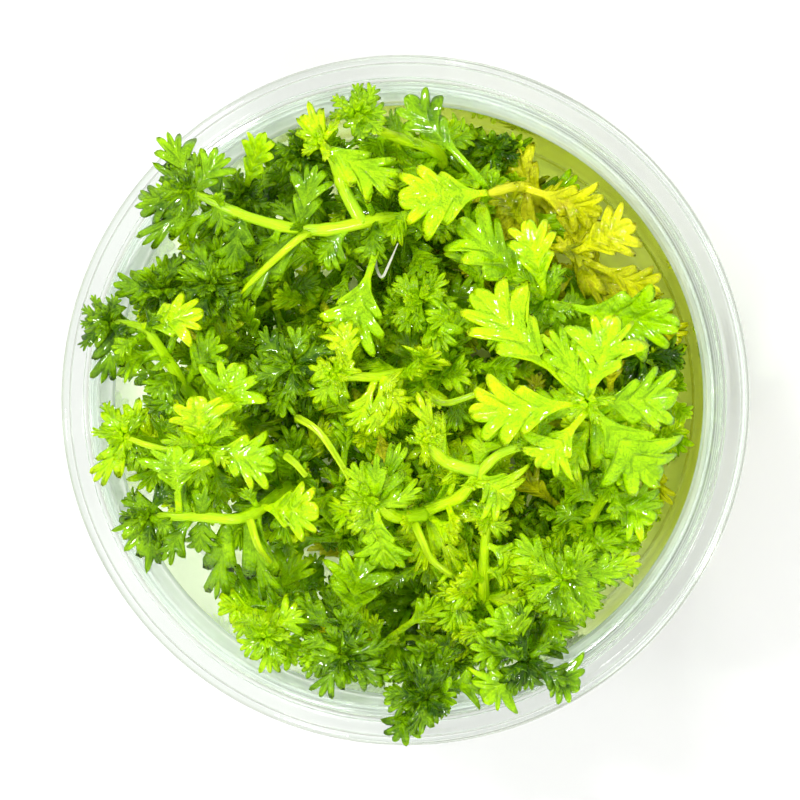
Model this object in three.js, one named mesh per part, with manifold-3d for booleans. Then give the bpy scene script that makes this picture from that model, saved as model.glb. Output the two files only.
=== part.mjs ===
// Water violet plantlets grown in a clear plastic tissue culture cup, on a bed of clear gel.
// Millimetres, +Z up. The origin is the middle of the cup's underside, which stands on z = 0.

import * as THREE from "three";
import { mergeVertices } from "three/addons/utils/BufferGeometryUtils.js";
import Module from "manifold-3d";

const wasm = await Module();
wasm.setup();

// Driving dimensions of the cup
const RIM_RADIUS = 40;
const CUP_HEIGHT = 54;
const NECK_RADIUS = 35.5;
const NECK_DEPTH = 6.7;
const STEP = 0.4;
const WALL = 1.05;
const FLOOR = 1.3;
const BASE_RADIUS = 32.9;
const FOOT_OUTER = 31.8;
const FOOT_INNER = 29.4;
const FOOT_RECESS = 0.6;
const FLANGE = 1.2;
const LIP_DROP = 1.1;
const LIP_WIDTH = 0.8;
const CUP_SEGMENTS = 32;

// The gel bed, and the gap kept between pieces that touch
const GEL_TOP = 20;
const MENISCUS = 0.7;
const GAP = 0.3;
const STEM_FOOT = 17;

// Plantlets
const STEM_RADIUS = 0.78;
const STEM_SIDES = 5;
const STALK_HALF_WIDTH = 0.4;
const RIDGE = 0.55;
const CROWN_SPACING = 0.62;
const CROWN_ARCH = 0.1;
const MOST_ROLL = 0.35;

// The leaves below the canopy
const LOW_LEAF_TOP = 46;
const LOW_LEAF_SPREAD = 6;
const LOW_LEAF_REACH = 7.6;
const LOW_LEAF_LIFT = 1.6;
const LOW_LEAF_WIDTH = 5.2;

// The plan is read off a photograph of 800 × 800 pixels, taken from above with a slight lean to +X.
const PICTURE = {
  centreX: 402.5,
  centreY: 400,
  pixelsPerMm: 8.65,
  distance: 420,
  lean: THREE.MathUtils.degToRad(4.5),
};

// Leaf outlines, from the foot of the blade to its tip. Each row holds the place on the midrib,
// the half-width of the edge and the place of the edge, as shares of the blade. Tips of lobes and the
// notches after them take turns, and the blade ends in its middle lobe. A small leaf starts from a point.
const OUTLINES = {
  broad: [
    [0, 0.12, 0],
    [0.26, 0.62, 0.48],
    [0.36, 0.4, 0.51],
    [0.48, 1, 0.74],
    [0.58, 0.46, 0.75],
    [0.68, 0.68, 0.91],
    [0.82, 0.22, 0.92],
  ],
  medium: [
    [0.34, 0.95, 0.62],
    [0.46, 0.44, 0.64],
    [0.6, 0.75, 0.86],
    [0.76, 0.24, 0.87],
  ],
  small: [
    [0.42, 1, 0.74],
    [0.62, 0.34, 0.76],
  ],
  tiny: [[0.5, 0.9, 0.62]],
};
const MEDIUM_FROM = 5.2;
const SMALL_FROM = 3.7;

// Tints of the foliage, from the dark rosettes to the wilting leaves
const TINTS = {
  dark: "#3f8f12",
  green: "#78c81a",
  bright: "#a8e61d",
  yellow: "#d8d622",
};

// Shoots. path: picture point and height of each point of the stem, from its foot to its crown.
// crown: picture point and height of the tip of each leaf of the crown, and that leaf's width.
// side: the same for leaves lower down, after their place on the path.
const SHOOTS = {
  stem_01: {
    tint: "dark",
    path: [
      [408, 262, STEM_FOOT], [404, 240, 42], [392, 218, 52], [319, 230, 56], [255, 219, 58.5],
      [188, 190, 60],
    ],
    crown: [
      [168, 132, 60, 5.4], [225, 153, 60, 5], [134, 206, 59, 5.4], [142, 245, 58.5, 4],
      [152, 162, 61, 3.4],
    ],
    side: [
      [3.3, 316, 164, 58, 5], [4.2, 232, 274, 55, 5.4], [4.6, 228, 232, 58, 4.4],
      [3.2, 240, 300, 55, 4.6],
    ],
  },
  stem_02: {
    tint: "dark",
    path: [
      [222, 440, STEM_FOOT], [210, 415, 42], [189, 393, 50], [166, 357, 54.5], [143, 329, 57.5],
      [108, 322, 59],
    ],
    crown: [
      [112, 299, 60, 3.4], [84, 345, 58, 3.4], [87, 318, 59.5, 3.2], [133, 347, 59, 4],
      [102, 384, 57, 4.4],
    ],
    side: [[1.6, 240, 372, 54, 5], [2.6, 152, 398, 55, 5]],
  },
  stem_03: {
    tint: "dark",
    path: [
      [300, 470, STEM_FOOT], [295, 482, 42], [284, 490, 49], [245, 517, 54.5], [200, 517, 56.5],
      [148, 516, 57.5],
    ],
    crown: [
      [111, 531, 58, 3.4], [124, 552, 57, 3.4], [146, 574, 57, 3.4], [177, 551, 57, 3.4],
      [121, 500, 58, 3.4],
    ],
    side: [[3.9, 198, 553, 54, 5], [3.4, 216, 600, 48, 4], [3, 276, 606, 50, 4.6], [4, 207, 484, 58, 3.4]],
  },
  stem_04: {
    tint: "dark",
    path: [[186, 335, STEM_FOOT], [176, 315, 38], [163, 290, 53.5]],
    crown: [
      [113, 284, 57, 4.6], [166, 254, 54, 4.6], [190, 256, 53, 4], [192, 300, 52, 4.6],
      [131, 308, 52, 4],
    ],
    side: [],
  },
  stem_05: {
    tint: "dark",
    path: [[232, 326, STEM_FOOT], [222, 304, 40], [212, 284, 54]],
    crown: [
      [194, 243, 55, 4.4], [234, 260, 56, 4.4], [242, 306, 55, 4.6], [205, 318, 54, 4.6],
      [176, 270, 55, 4],
    ],
    side: [],
  },
  stem_06: {
    tint: "dark",
    path: [[256, 240, STEM_FOOT], [249, 218, 40], [242, 197, 52]],
    crown: [[222, 176, 53, 3.2], [262, 180, 53, 3.2], [220, 208, 52, 3.2]],
    side: [],
  },
  stem_07: {
    tint: "dark",
    path: [[314, 204, STEM_FOOT], [308, 178, 40], [301, 153, 53]],
    crown: [
      [281, 148, 54, 3.2], [286, 170, 54, 3], [306, 128, 55, 3.2], [326, 150, 54, 3.2],
      [320, 178, 54, 3.2],
    ],
    side: [],
  },
  stem_08: {
    tint: "bright",
    path: [[362, 223, 54.2], [344, 189, 55.5], [334, 160, 57], [321, 143, 58]],
    crown: [[308, 101, 59, 3.4], [398, 188, 57, 6]],
    side: [[2.5, 296, 118, 59, 2.6]],
  },
  stem_09: {
    tint: "green",
    path: [
      [450, 196, STEM_FOOT], [444, 168, 42], [434, 150, 50], [398, 138, 54], [372, 126, 56],
      [358, 114, 57],
    ],
    crown: [[341, 101, 57.5, 3.6], [365, 98, 58, 3.6], [387, 112, 57.5, 4], [343, 127, 57, 3.6]],
    side: [],
  },
  stem_10: {
    tint: "dark",
    path: [[302, 392, STEM_FOOT], [298, 378, 40], [293, 365, 57]],
    crown: [
      [262, 352, 57, 4], [272, 334, 58, 4], [300, 326, 58, 4], [318, 396, 57, 3.6], [286, 402, 57, 4],
      [262, 384, 57, 4],
    ],
    side: [],
  },
  stem_11: {
    tint: "bright",
    path: [[442, 396, STEM_FOOT], [432, 384, 43], [411, 373, 52], [376, 377, 55.5], [334, 375, 58]],
    crown: [
      [308, 366, 59, 3.4], [314, 404, 57, 4.4], [336, 400, 57, 3.4], [354, 360, 58, 3.2],
      [337, 348, 58, 3.4],
    ],
    side: [],
  },
  stem_12: {
    tint: "yellow",
    path: [[556, 232, STEM_FOOT], [544, 208, 40], [524, 187, 50], [488, 193, 56]],
    crown: [],
    side: [[2, 484, 234, 43, 3.4], [1.9, 521, 288, 42, 4], [1.8, 500, 250, 46, 3]],
  },
  stem_13: {
    tint: "yellow",
    path: [[590, 306, STEM_FOOT], [582, 280, 40], [573, 253, 51]],
    crown: [[604, 310, 48, 3.4], [556, 236, 50, 3]],
    side: [],
  },
  stem_14: {
    tint: "green",
    path: [[560, 338, STEM_FOOT], [556, 320, 42], [546, 300, 57]],
    crown: [[556, 262, 58, 3.4], [520, 316, 57, 4], [566, 322, 58, 3.6]],
    side: [],
  },
  stem_15: {
    tint: "bright",
    path: [[604, 436, STEM_FOOT], [600, 428, 44], [593, 414, 60], [588, 402, 66]],
    crown: [[550, 329, 67, 5.2]],
    side: [[2, 612, 482, 56, 3.6]],
  },
  stem_16: {
    tint: "dark",
    path: [[502, 176, STEM_FOOT], [498, 164, 34], [494, 151, 46]],
    crown: [
      [470, 140, 47, 3.4], [494, 122, 48, 3.4], [520, 140, 47, 3.4], [518, 166, 46, 3.4],
      [474, 166, 46, 3.4],
    ],
    side: [],
  },
  stem_17: {
    tint: "dark",
    path: [[648, 380, STEM_FOOT], [645, 368, 34], [641, 357, 46]],
    crown: [
      [612, 352, 47, 3.4], [640, 328, 48, 3.4], [668, 348, 47, 3.4], [664, 376, 46, 3.4],
      [628, 384, 46, 3.4],
    ],
    side: [],
  },
  stem_18: {
    tint: "bright",
    path: [
      [434, 548, STEM_FOOT], [431, 528, 44], [425, 512, 54], [459, 497, 58], [480, 472, 60],
      [502, 453, 60.5], [536, 443, 61],
    ],
    crown: [[560, 432, 62, 3]],
    side: [[2, 462, 572, 53, 4.6]],
  },
  stem_19: {
    tint: "green",
    path: [[424, 514, 55.4], [398, 517, 58], [382, 508, 60], [370, 498, 61.5]],
    crown: [
      [352, 462, 63, 3.8], [377, 453, 64, 3.6], [401, 442, 63, 3.8], [423, 488, 61.5, 4],
      [340, 496, 62, 3.8], [346, 528, 60, 3.8],
    ],
    side: [],
  },
  stem_20: {
    tint: "bright",
    path: [[480, 472, 60], [447, 462, 59], [425, 441, 61]],
    crown: [[419, 420, 62, 2.4], [434, 426, 62.4, 2.2]],
    side: [[1, 416, 392, 60, 4]],
  },
  stem_21: {
    tint: "green",
    path: [[577, 548, STEM_FOOT], [572, 562, 42], [563, 579, 60]],
    crown: [
      [514, 540, 60, 4.8], [592, 543, 61, 4.4], [628, 567, 58, 5], [601, 606, 59, 4.8],
      [550, 616, 58, 5], [526, 598, 59, 4.4],
    ],
    side: [],
  },
  stem_22: {
    tint: "dark",
    path: [[522, 622, STEM_FOOT], [524, 642, 42], [527, 661, 57.5]],
    crown: [[533, 690, 57, 4], [507, 690, 57, 4], [549, 681, 57, 3.6]],
    side: [],
  },
  stem_23: {
    tint: "dark",
    path: [[434, 640, STEM_FOOT], [430, 664, 42], [425, 698, 57.5]],
    crown: [
      [420, 736, 57.5, 3.4], [438, 724, 57.5, 3], [440, 704, 57.5, 3.4], [384, 704, 57, 5],
      [402, 710, 57.5, 3],
    ],
    side: [[1.6, 405, 662, 52, 5], [1.7, 456, 704, 57, 5]],
  },
  stem_24: {
    tint: "dark",
    path: [[352, 618, STEM_FOOT], [348, 634, 42], [343, 653, 56]],
    crown: [
      [306, 660, 56, 4.4], [320, 697, 56.5, 4.4], [382, 682, 56, 5], [370, 634, 56, 4],
      [326, 628, 56, 4],
    ],
    side: [],
  },
  stem_25: {
    tint: "green",
    path: [[282, 576, STEM_FOOT], [275, 598, 40], [265, 637, 55.5]],
    crown: [
      [247, 614, 56, 3.8], [240, 650, 56.5, 3.8], [270, 673, 56.5, 4], [303, 611, 55, 5],
      [288, 649, 55, 3.8],
    ],
    side: [],
  },
  stem_26: {
    tint: "green",
    path: [[178, 450, STEM_FOOT], [170, 447, 44], [126, 436, 57]],
    crown: [
      [101, 412, 58, 3.4], [107, 452, 57, 3.2], [94, 482, 57.5, 4], [140, 398, 58, 3.6],
      [146, 470, 56, 4],
    ],
    side: [],
  },
  stem_27: {
    tint: "green",
    path: [[222, 474, STEM_FOOT], [214, 462, 42], [205, 446, 57]],
    crown: [[160, 440, 58, 4.4], [196, 490, 57, 4.4]],
    side: [],
  },
  stem_28: {
    tint: "bright",
    path: [[484, 646, STEM_FOOT], [484, 606, 46], [484, 560, 53.5], [487, 520, 57]],
    crown: [[470, 500, 57, 3], [512, 530, 57, 4]],
    side: [[1.2, 548, 604, 52, 4], [1.2, 446, 590, 53, 5], [1, 452, 640, 51, 5]],
  },
  stem_29: {
    tint: "green",
    path: [[574, 520, STEM_FOOT], [583, 528, 44], [600, 504, 51], [614, 484, 55]],
    crown: [[640, 480, 55, 3.6]],
    side: [[1, 630, 548, 50, 5]],
  },
  stem_30: {
    tint: "green",
    path: [[432, 336, STEM_FOOT], [428, 320, 40], [420, 300, 52]],
    crown: [
      [396, 276, 53, 4], [446, 272, 53, 4.4], [458, 306, 52, 4], [398, 332, 54, 4], [448, 352, 54, 5],
    ],
    side: [],
  },
};

// Large leaves. on: the stem and the place on its path that the leaf grows from.
// tip: picture point and height. stalk: the share of the length that is stalk.
// arch: how far the midrib rises, as a share of its length.
const LEAVES = {
  leaf_01: { tint: "bright", on: ["stem_12", 3], tip: [398, 200, 60.5], width: 9.6, stalk: 0.12, arch: 0.08 },
  leaf_02: { tint: "dark", on: ["stem_12", 2.9], tip: [405, 96, 58], width: 6.4, stalk: 0.45, arch: 0.04 },
  leaf_03: { tint: "yellow", on: ["stem_12", 2.1], tip: [602, 214, 49], width: 6.4, stalk: 0.3, arch: 0.14 },
  leaf_04: { tint: "yellow", on: ["stem_13", 2], tip: [647, 213, 55.5], width: 7.4, stalk: 0.18, arch: 0.08 },
  leaf_05: { tint: "yellow", on: ["stem_13", 1.9], tip: [660, 294, 51], width: 5.4, stalk: 0.4, arch: 0.1 },
  leaf_06: { tint: "bright", on: ["stem_14", 2], tip: [527, 220, 61], width: 6.4, stalk: 0.2, arch: 0.06 },
  leaf_07: { tint: "green", on: ["stem_14", 1.8], tip: [458, 222, 54], width: 9, stalk: 0.24, arch: 0.08 },
  leaf_08: { tint: "green", on: ["stem_14", 1.9], tip: [680, 327, 59], width: 9.4, stalk: 0.3, arch: 0.06 },
  leaf_09: { tint: "bright", on: ["stem_15", 3], tip: [614, 315, 69], width: 8.6, stalk: 0.2, arch: 0.05 },
  leaf_10: { tint: "green", on: ["stem_15", 2.95], tip: [678, 396, 64], width: 8.6, stalk: 0.18, arch: 0.08 },
  leaf_11: { tint: "green", on: ["stem_15", 2.9], tip: [660, 484, 60], width: 11, stalk: 0.2, arch: 0.1 },
  leaf_12: { tint: "bright", on: ["stem_15", 2.6], tip: [540, 468, 62], width: 7.4, stalk: 0.35, arch: 0.08 },
  leaf_13: { tint: "bright", on: ["stem_15", 3], tip: [469, 414, 66], width: 8.6, stalk: 0.22, arch: 0.06 },
  leaf_14: { tint: "bright", on: ["stem_15", 2.5], tip: [472, 290, 61], width: 9.6, stalk: 0.34, arch: 0.06 },
  leaf_15: { tint: "bright", on: ["stem_18", 3.9], tip: [512, 503, 59], width: 8.4, stalk: 0.1, arch: 0.12 },
  leaf_16: { tint: "green", on: ["stem_19", 2.6], tip: [389, 570, 56], width: 6.6, stalk: 0.25, arch: 0.14 },
  leaf_17: { tint: "dark", on: ["stem_22", 2], tip: [580, 688, 57.5], width: 7, stalk: 0.34, arch: 0.08 },
  leaf_18: { tint: "green", on: ["stem_22", 1.9], tip: [482, 700, 56.5], width: 7.4, stalk: 0.24, arch: 0.1 },
  leaf_19: { tint: "green", on: ["stem_22", 1.8], tip: [500, 606, 57], width: 7.4, stalk: 0.26, arch: 0.08 },
  leaf_20: { tint: "green", on: ["stem_29", 2.4], tip: [655, 521, 55], width: 7.4, stalk: 0.22, arch: 0.06 },
  leaf_21: { tint: "bright", on: ["stem_27", 2], tip: [195, 396, 60], width: 8, stalk: 0.12, arch: 0.08 },
  leaf_22: { tint: "green", on: ["stem_27", 1.95], tip: [276, 468, 57], width: 8, stalk: 0.16, arch: 0.1 },
  leaf_23: { tint: "green", on: ["stem_27", 1.8], tip: [240, 363, 58], width: 8.6, stalk: 0.34, arch: 0.04 },
  leaf_24: { tint: "green", on: ["stem_01", 2.1], tip: [345, 352, 56], width: 9.4, stalk: 0.45, arch: 0.06 },
  leaf_25: { tint: "bright", on: ["stem_02", 4.1], tip: [204, 312, 59], width: 6.6, stalk: 0.14, arch: 0.08 },
  leaf_26: { tint: "green", on: ["stem_03", 4.4], tip: [174, 446, 60], width: 8, stalk: 0.36, arch: 0.05 },
  leaf_27: { tint: "bright", on: ["stem_03", 2.6], tip: [320, 513, 57], width: 8, stalk: 0.12, arch: 0.1 },
  leaf_28: { tint: "green", on: ["stem_06", 1.9], tip: [264, 132, 58], width: 4.4, stalk: 0.3, arch: 0.05 },
};

// Leaves below the canopy: the directions that they grow in from each shoot, in degrees from +X
const LOW_LEAVES = {
  stem_01: [60, 300],
  stem_02: [30, 150, 270],
  stem_03: [150, 210],
  stem_05: [90, 210],
  stem_10: [240],
  stem_11: [120],
  stem_12: [120, 240, 330],
  stem_13: [90, 210, 330],
  stem_14: [30, 150],
  stem_15: [60, 300],
  stem_18: [270],
  stem_21: [150, 240],
  stem_22: [60, 150],
  stem_24: [60, 150],
  stem_25: [60, 150],
  stem_27: [30, 150, 270],
  stem_28: [90, 180],
  stem_29: [60, 210],
  stem_30: [30, 240],
};

const UP = new THREE.Vector3(0, 0, 1);

// Where a picture point at a height is
function spot([x, y, z]) {
  const { centreX, centreY, pixelsPerMm, distance, lean } = PICTURE;
  const focal = pixelsPerMm * distance;
  const eye = new THREE.Vector3(distance * Math.sin(lean), 0, CUP_HEIGHT + distance * Math.cos(lean));
  const ray = new THREE.Vector3(-Math.sin(lean), 0, -Math.cos(lean))
    .addScaledVector(new THREE.Vector3(Math.cos(lean), 0, -Math.sin(lean)), (x - centreX) / focal)
    .addScaledVector(new THREE.Vector3(0, 1, 0), (centreY - y) / focal);
  return eye.addScaledVector(ray, (z - eye.z) / ray.z);
}

// A repeatable number from 0 to 1
function chance(n) {
  const s = Math.sin(n * 127.1 + 311.7) * 43758.5453;
  return s - Math.floor(s);
}

// A closed geometry as a solid that can be joined and cut
function solidOf(geometry) {
  const bare = new THREE.BufferGeometry();
  bare.setAttribute("position", geometry.getAttribute("position"));
  bare.setIndex(geometry.getIndex());
  const merged = mergeVertices(bare, 1e-4);
  const index = merged.getIndex().array;
  const triVerts = [];
  for (let i = 0; i < index.length; i += 3) {
    const [a, b, c] = index.slice(i, i + 3);
    if (a !== b && b !== c && c !== a) triVerts.push(a, b, c);
  }
  return new wasm.Manifold(
    new wasm.Mesh({
      numProp: 3,
      vertProperties: new Float32Array(merged.getAttribute("position").array),
      triVerts: new Uint32Array(triVerts),
    }),
  );
}

function geometryOf(solid) {
  const { numProp, vertProperties, triVerts } = solid.getMesh();
  const count = vertProperties.length / numProp;
  const position = new Float32Array(count * 3);
  for (let i = 0; i < count; i++) {
    position.set(vertProperties.subarray(i * numProp, i * numProp + 3), i * 3);
  }
  const geometry = new THREE.BufferGeometry();
  geometry.setAttribute("position", new THREE.BufferAttribute(position, 3));
  geometry.setIndex(new THREE.BufferAttribute(new Uint32Array(triVerts), 1));
  return geometry;
}

function boxesMeet(a, b) {
  return [0, 1, 2].every((k) => a.min[k] < b.max[k] && b.min[k] < a.max[k]);
}

function largestBody(solid) {
  return solid.decompose().reduce((best, body) => (body.volume() > best.volume() ? body : best));
}

// What is left of a piece beside its neighbours, which are given a little larger than they are
function cutBack(solid, neighbours) {
  let rest = solid;
  for (const other of neighbours) {
    if (boxesMeet(rest.boundingBox(), other.boundingBox())) rest = rest.subtract(other);
  }
  return largestBody(rest);
}

function revolve(profile) {
  const points = profile.map(([r, z]) => new THREE.Vector2(r, z));
  return solidOf(new THREE.LatheGeometry(points, CUP_SEGMENTS).rotateX(Math.PI / 2));
}

// The radius of the cup's inside at a height
function innerRadius(z) {
  const neckFoot = CUP_HEIGHT - NECK_DEPTH;
  if (z > neckFoot) return NECK_RADIUS - (STEP * (CUP_HEIGHT - z)) / NECK_DEPTH;
  return BASE_RADIUS + ((NECK_RADIUS - 2 * STEP - BASE_RADIUS) * z) / neckFoot;
}

// The cup: foot ring, tapered wall, stacking step, neck, and a flange whose edge turns down
function cup(grow) {
  const neckFoot = CUP_HEIGHT - NECK_DEPTH;
  const neckOuter = NECK_RADIUS + WALL + grow;
  const underFlange = CUP_HEIGHT - FLANGE - grow;
  const top = CUP_HEIGHT + grow;
  const inner = (z) => innerRadius(z) - grow;
  const outer = (z) => innerRadius(z) + WALL + grow;
  return revolve([
    [0, FOOT_RECESS - grow],
    [FOOT_INNER - FOOT_RECESS, FOOT_RECESS - grow],
    [FOOT_INNER, -grow],
    [FOOT_OUTER, -grow],
    [outer(1.6), 1.6],
    [outer(neckFoot - 1.5), neckFoot - 1.5],
    [neckOuter, neckFoot - 0.5],
    [neckOuter, underFlange],
    [RIM_RADIUS - LIP_WIDTH - grow, underFlange],
    [RIM_RADIUS - LIP_WIDTH - grow, underFlange - LIP_DROP],
    [RIM_RADIUS + grow, underFlange - LIP_DROP],
    [RIM_RADIUS + grow, top - 0.7],
    [RIM_RADIUS - 0.7, top],
    [NECK_RADIUS + 0.3 - grow, top],
    [inner(CUP_HEIGHT), CUP_HEIGHT - 0.4],
    [inner(neckFoot + 0.1), neckFoot + 0.1],
    [inner(neckFoot - 0.5), neckFoot - 0.5],
    [inner(FLOOR + 1.4), FLOOR + 1.4],
    [inner(FLOOR) - 1.2, FLOOR + grow],
    [0, FLOOR + grow],
  ]);
}

// The gel bed, with its edge drawn a little way up the wall
function gel(grow) {
  const bottom = FLOOR + GAP;
  const edge = (z) => innerRadius(z) - GAP;
  return revolve([
    [0, bottom],
    [edge(FLOOR) - 1.6, bottom],
    [edge(FLOOR + 1.9), FLOOR + 1.9],
    [edge(GEL_TOP + MENISCUS), GEL_TOP + MENISCUS + grow],
    [edge(GEL_TOP) - 1.6, GEL_TOP + grow],
    [0, GEL_TOP + grow],
  ]);
}

function stemCurve(name) {
  return new THREE.CatmullRomCurve3(SHOOTS[name].path.map(spot), false, "catmullrom", 0.5);
}

// The point of a stem at a place on its path, or a length in millimetres below it
function onStem(name, place, below = 0) {
  const curve = stemCurve(name);
  const share = place / (SHOOTS[name].path.length - 1);
  return curve.getPoint(share - below / curve.getLength());
}

function stem(name, grow) {
  const outline = new THREE.Shape();
  for (let k = 0; k < STEM_SIDES; k++) {
    const angle = (2 * Math.PI * k) / STEM_SIDES;
    const [x, y] = [(STEM_RADIUS + grow) * Math.cos(angle), (STEM_RADIUS + grow) * Math.sin(angle)];
    if (k === 0) outline.moveTo(x, y);
    else outline.lineTo(x, y);
  }
  const steps = 2 * (SHOOTS[name].path.length - 1);
  return solidOf(new THREE.ExtrudeGeometry(outline, { steps, extrudePath: stemCurve(name) }));
}

// A point of a leaf: its place along the midrib, how far it is across it and how far it is above the blade
function leafPoint(leaf, along, across, above) {
  const rise = leaf.arch * leaf.from.distanceTo(leaf.tip);
  const middle = leaf.from.clone().lerp(leaf.tip, 0.5).addScaledVector(UP, rise);
  const midrib = new THREE.QuadraticBezierCurve3(leaf.from, middle, leaf.tip);
  const forward = midrib.getTangent(along);
  const side = new THREE.Vector3().crossVectors(forward, UP).normalize().applyAxisAngle(forward, leaf.roll);
  const normal = new THREE.Vector3().crossVectors(side, forward);
  return midrib.getPoint(along).addScaledVector(side, across).addScaledVector(normal, above);
}

// A leaf as a closed skin, flat below with a ridge along its midrib. Each row is its left edge, its ridge
// and its right edge. A large leaf has a stalk, and a small one starts from a point.
function leafSolid(leaf, grow) {
  const rows = leaf.stalk > 0 ? [[0, STALK_HALF_WIDTH, 0]] : [];
  for (const [middle, width, edge] of OUTLINES[leaf.outline]) {
    const place = (share) => leaf.stalk + (1 - leaf.stalk) * share;
    rows.push([place(middle), Math.max((width * leaf.width) / 2, STALK_HALF_WIDTH), place(edge)]);
  }
  const points = [];
  for (const [middle, width, edge] of rows) {
    points.push(leafPoint(leaf, edge, -width - 2 * grow, -grow));
    points.push(leafPoint(leaf, middle, 0, RIDGE + grow));
    points.push(leafPoint(leaf, edge, width + 2 * grow, -grow));
  }
  const tip = points.push(leafPoint(leaf, 1, 0, 0)) - 1;
  const index = [];
  for (let row = 0; row + 1 < rows.length; row++) {
    const [left, ridge, right] = [3 * row, 3 * row + 1, 3 * row + 2];
    index.push(left, ridge, left + 3, ridge, ridge + 3, left + 3);
    index.push(ridge, right, right + 3, ridge, right + 3, ridge + 3);
    index.push(right, left, left + 3, right, left + 3, right + 3);
  }
  index.push(tip - 3, tip - 2, tip, tip - 2, tip - 1, tip, tip - 1, tip - 3, tip);
  if (leaf.stalk > 0) {
    index.push(0, 2, 1);
  } else {
    const foot = points.push(leafPoint(leaf, 0, 0, 0)) - 1;
    index.push(foot, 1, 0, foot, 2, 1, foot, 0, 2);
  }
  const geometry = new THREE.BufferGeometry();
  geometry.setAttribute("position", new THREE.Float32BufferAttribute(points.flatMap((p) => p.toArray()), 3));
  geometry.setIndex(index);
  return solidOf(geometry);
}

function largeLeaf(name) {
  const { on, tip, width, stalk, arch } = LEAVES[name];
  const roll = MOST_ROLL * (2 * chance(Object.keys(LEAVES).indexOf(name)) - 1);
  return { from: onStem(...on), tip: spot(tip), width, stalk, arch, roll, outline: "broad" };
}

function outlineFor(width) {
  if (width >= MEDIUM_FROM) return "medium";
  return width >= SMALL_FROM ? "small" : "tiny";
}

// The small leaves of a shoot: its crown, set round the top of the stem, and the ones lower down
function smallLeaves(name) {
  const { path, crown, side } = SHOOTS[name];
  const top = path.length - 1;
  const rows = [
    ...crown.map(([x, y, z, width], k) => [onStem(name, top, CROWN_SPACING * (k + 1)), [x, y, z], width]),
    ...side.map(([place, x, y, z, width]) => [onStem(name, place), [x, y, z], width]),
  ];
  return rows.map(([from, tip, width], k) => ({
    from,
    tip: spot(tip),
    width,
    stalk: 0,
    arch: CROWN_ARCH,
    roll: MOST_ROLL * (2 * chance(10 * Object.keys(SHOOTS).indexOf(name) + k + 100) - 1),
    outline: outlineFor(width),
  }));
}

// The leaves round a shoot where it passes a height below the canopy
function lowLeaves(name) {
  const height = LOW_LEAF_TOP - LOW_LEAF_SPREAD * chance(stemNames.indexOf(name) + 40);
  const from = stemCurve(name).getPoints(60).find((point) => point.z > height);
  return (LOW_LEAVES[name] ?? []).map((degrees) => {
    const turn = THREE.MathUtils.degToRad(degrees);
    const out = new THREE.Vector3(Math.cos(turn), Math.sin(turn), 0);
    const tip = from.clone().addScaledVector(out, LOW_LEAF_REACH).addScaledVector(UP, LOW_LEAF_LIFT);
    return { from, tip, width: LOW_LEAF_WIDTH, stalk: 0, arch: CROWN_ARCH, roll: 0, outline: "tiny" };
  });
}

function mesh(name, solid, look) {
  const result = new THREE.Mesh(geometryOf(solid), new THREE.MeshStandardMaterial(look));
  result.name = name;
  return result;
}

const stemNames = Object.keys(SHOOTS);
const leafNames = Object.keys(LEAVES);
const cupRoom = cup(GAP);
const gelRoom = gel(GAP);

// The stems come first, then the large leaves, and the small leaves take the room that is left.
const stems = {};
const stemRooms = {};
for (const name of stemNames) {
  stems[name] = cutBack(stem(name, 0), [cupRoom, ...Object.values(stemRooms)]);
  stemRooms[name] = stem(name, GAP);
}
const leaves = {};
const leafRooms = {};
for (const name of leafNames) {
  const taken = [cupRoom, ...Object.values(stemRooms), ...Object.values(leafRooms)];
  leaves[name] = cutBack(leafSolid(largeLeaf(name), 0), taken);
  leafRooms[name] = leafSolid(largeLeaf(name), GAP);
}
const shoots = {};
const smallRooms = [];
for (const name of stemNames) {
  const others = stemNames.filter((other) => other !== name).map((other) => stemRooms[other]);
  const taken = [cupRoom, gelRoom, ...others, ...Object.values(leafRooms), ...smallRooms];
  const own = [...smallLeaves(name), ...lowLeaves(name)];
  shoots[name] = largestBody(
    own.reduce((joined, leaf) => joined.add(cutBack(leafSolid(leaf, 0), taken)), stems[name]),
  );
  smallRooms.push(...own.map((leaf) => leafSolid(leaf, GAP)));
}

const plant = new THREE.Group();
plant.add(mesh("cup", cup(0), { color: "#eef3f0", roughness: 0.08, transparent: true, opacity: 0.3 }));
const bed = stemNames.reduce((rest, name) => rest.subtract(stemRooms[name]), gel(0));
plant.add(mesh("gel", bed, { color: "#e6eac8", roughness: 0.15, transparent: true, opacity: 0.6 }));
for (const name of stemNames) {
  plant.add(mesh(name, shoots[name], { color: TINTS[SHOOTS[name].tint], roughness: 0.4 }));
}
for (const name of leafNames) {
  plant.add(mesh(name, leaves[name], { color: TINTS[LEAVES[name].tint], roughness: 0.4 }));
}

export default plant;
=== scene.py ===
# Water violet plantlets in a clear plastic tissue culture cup: the looks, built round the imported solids.
import math

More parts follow.
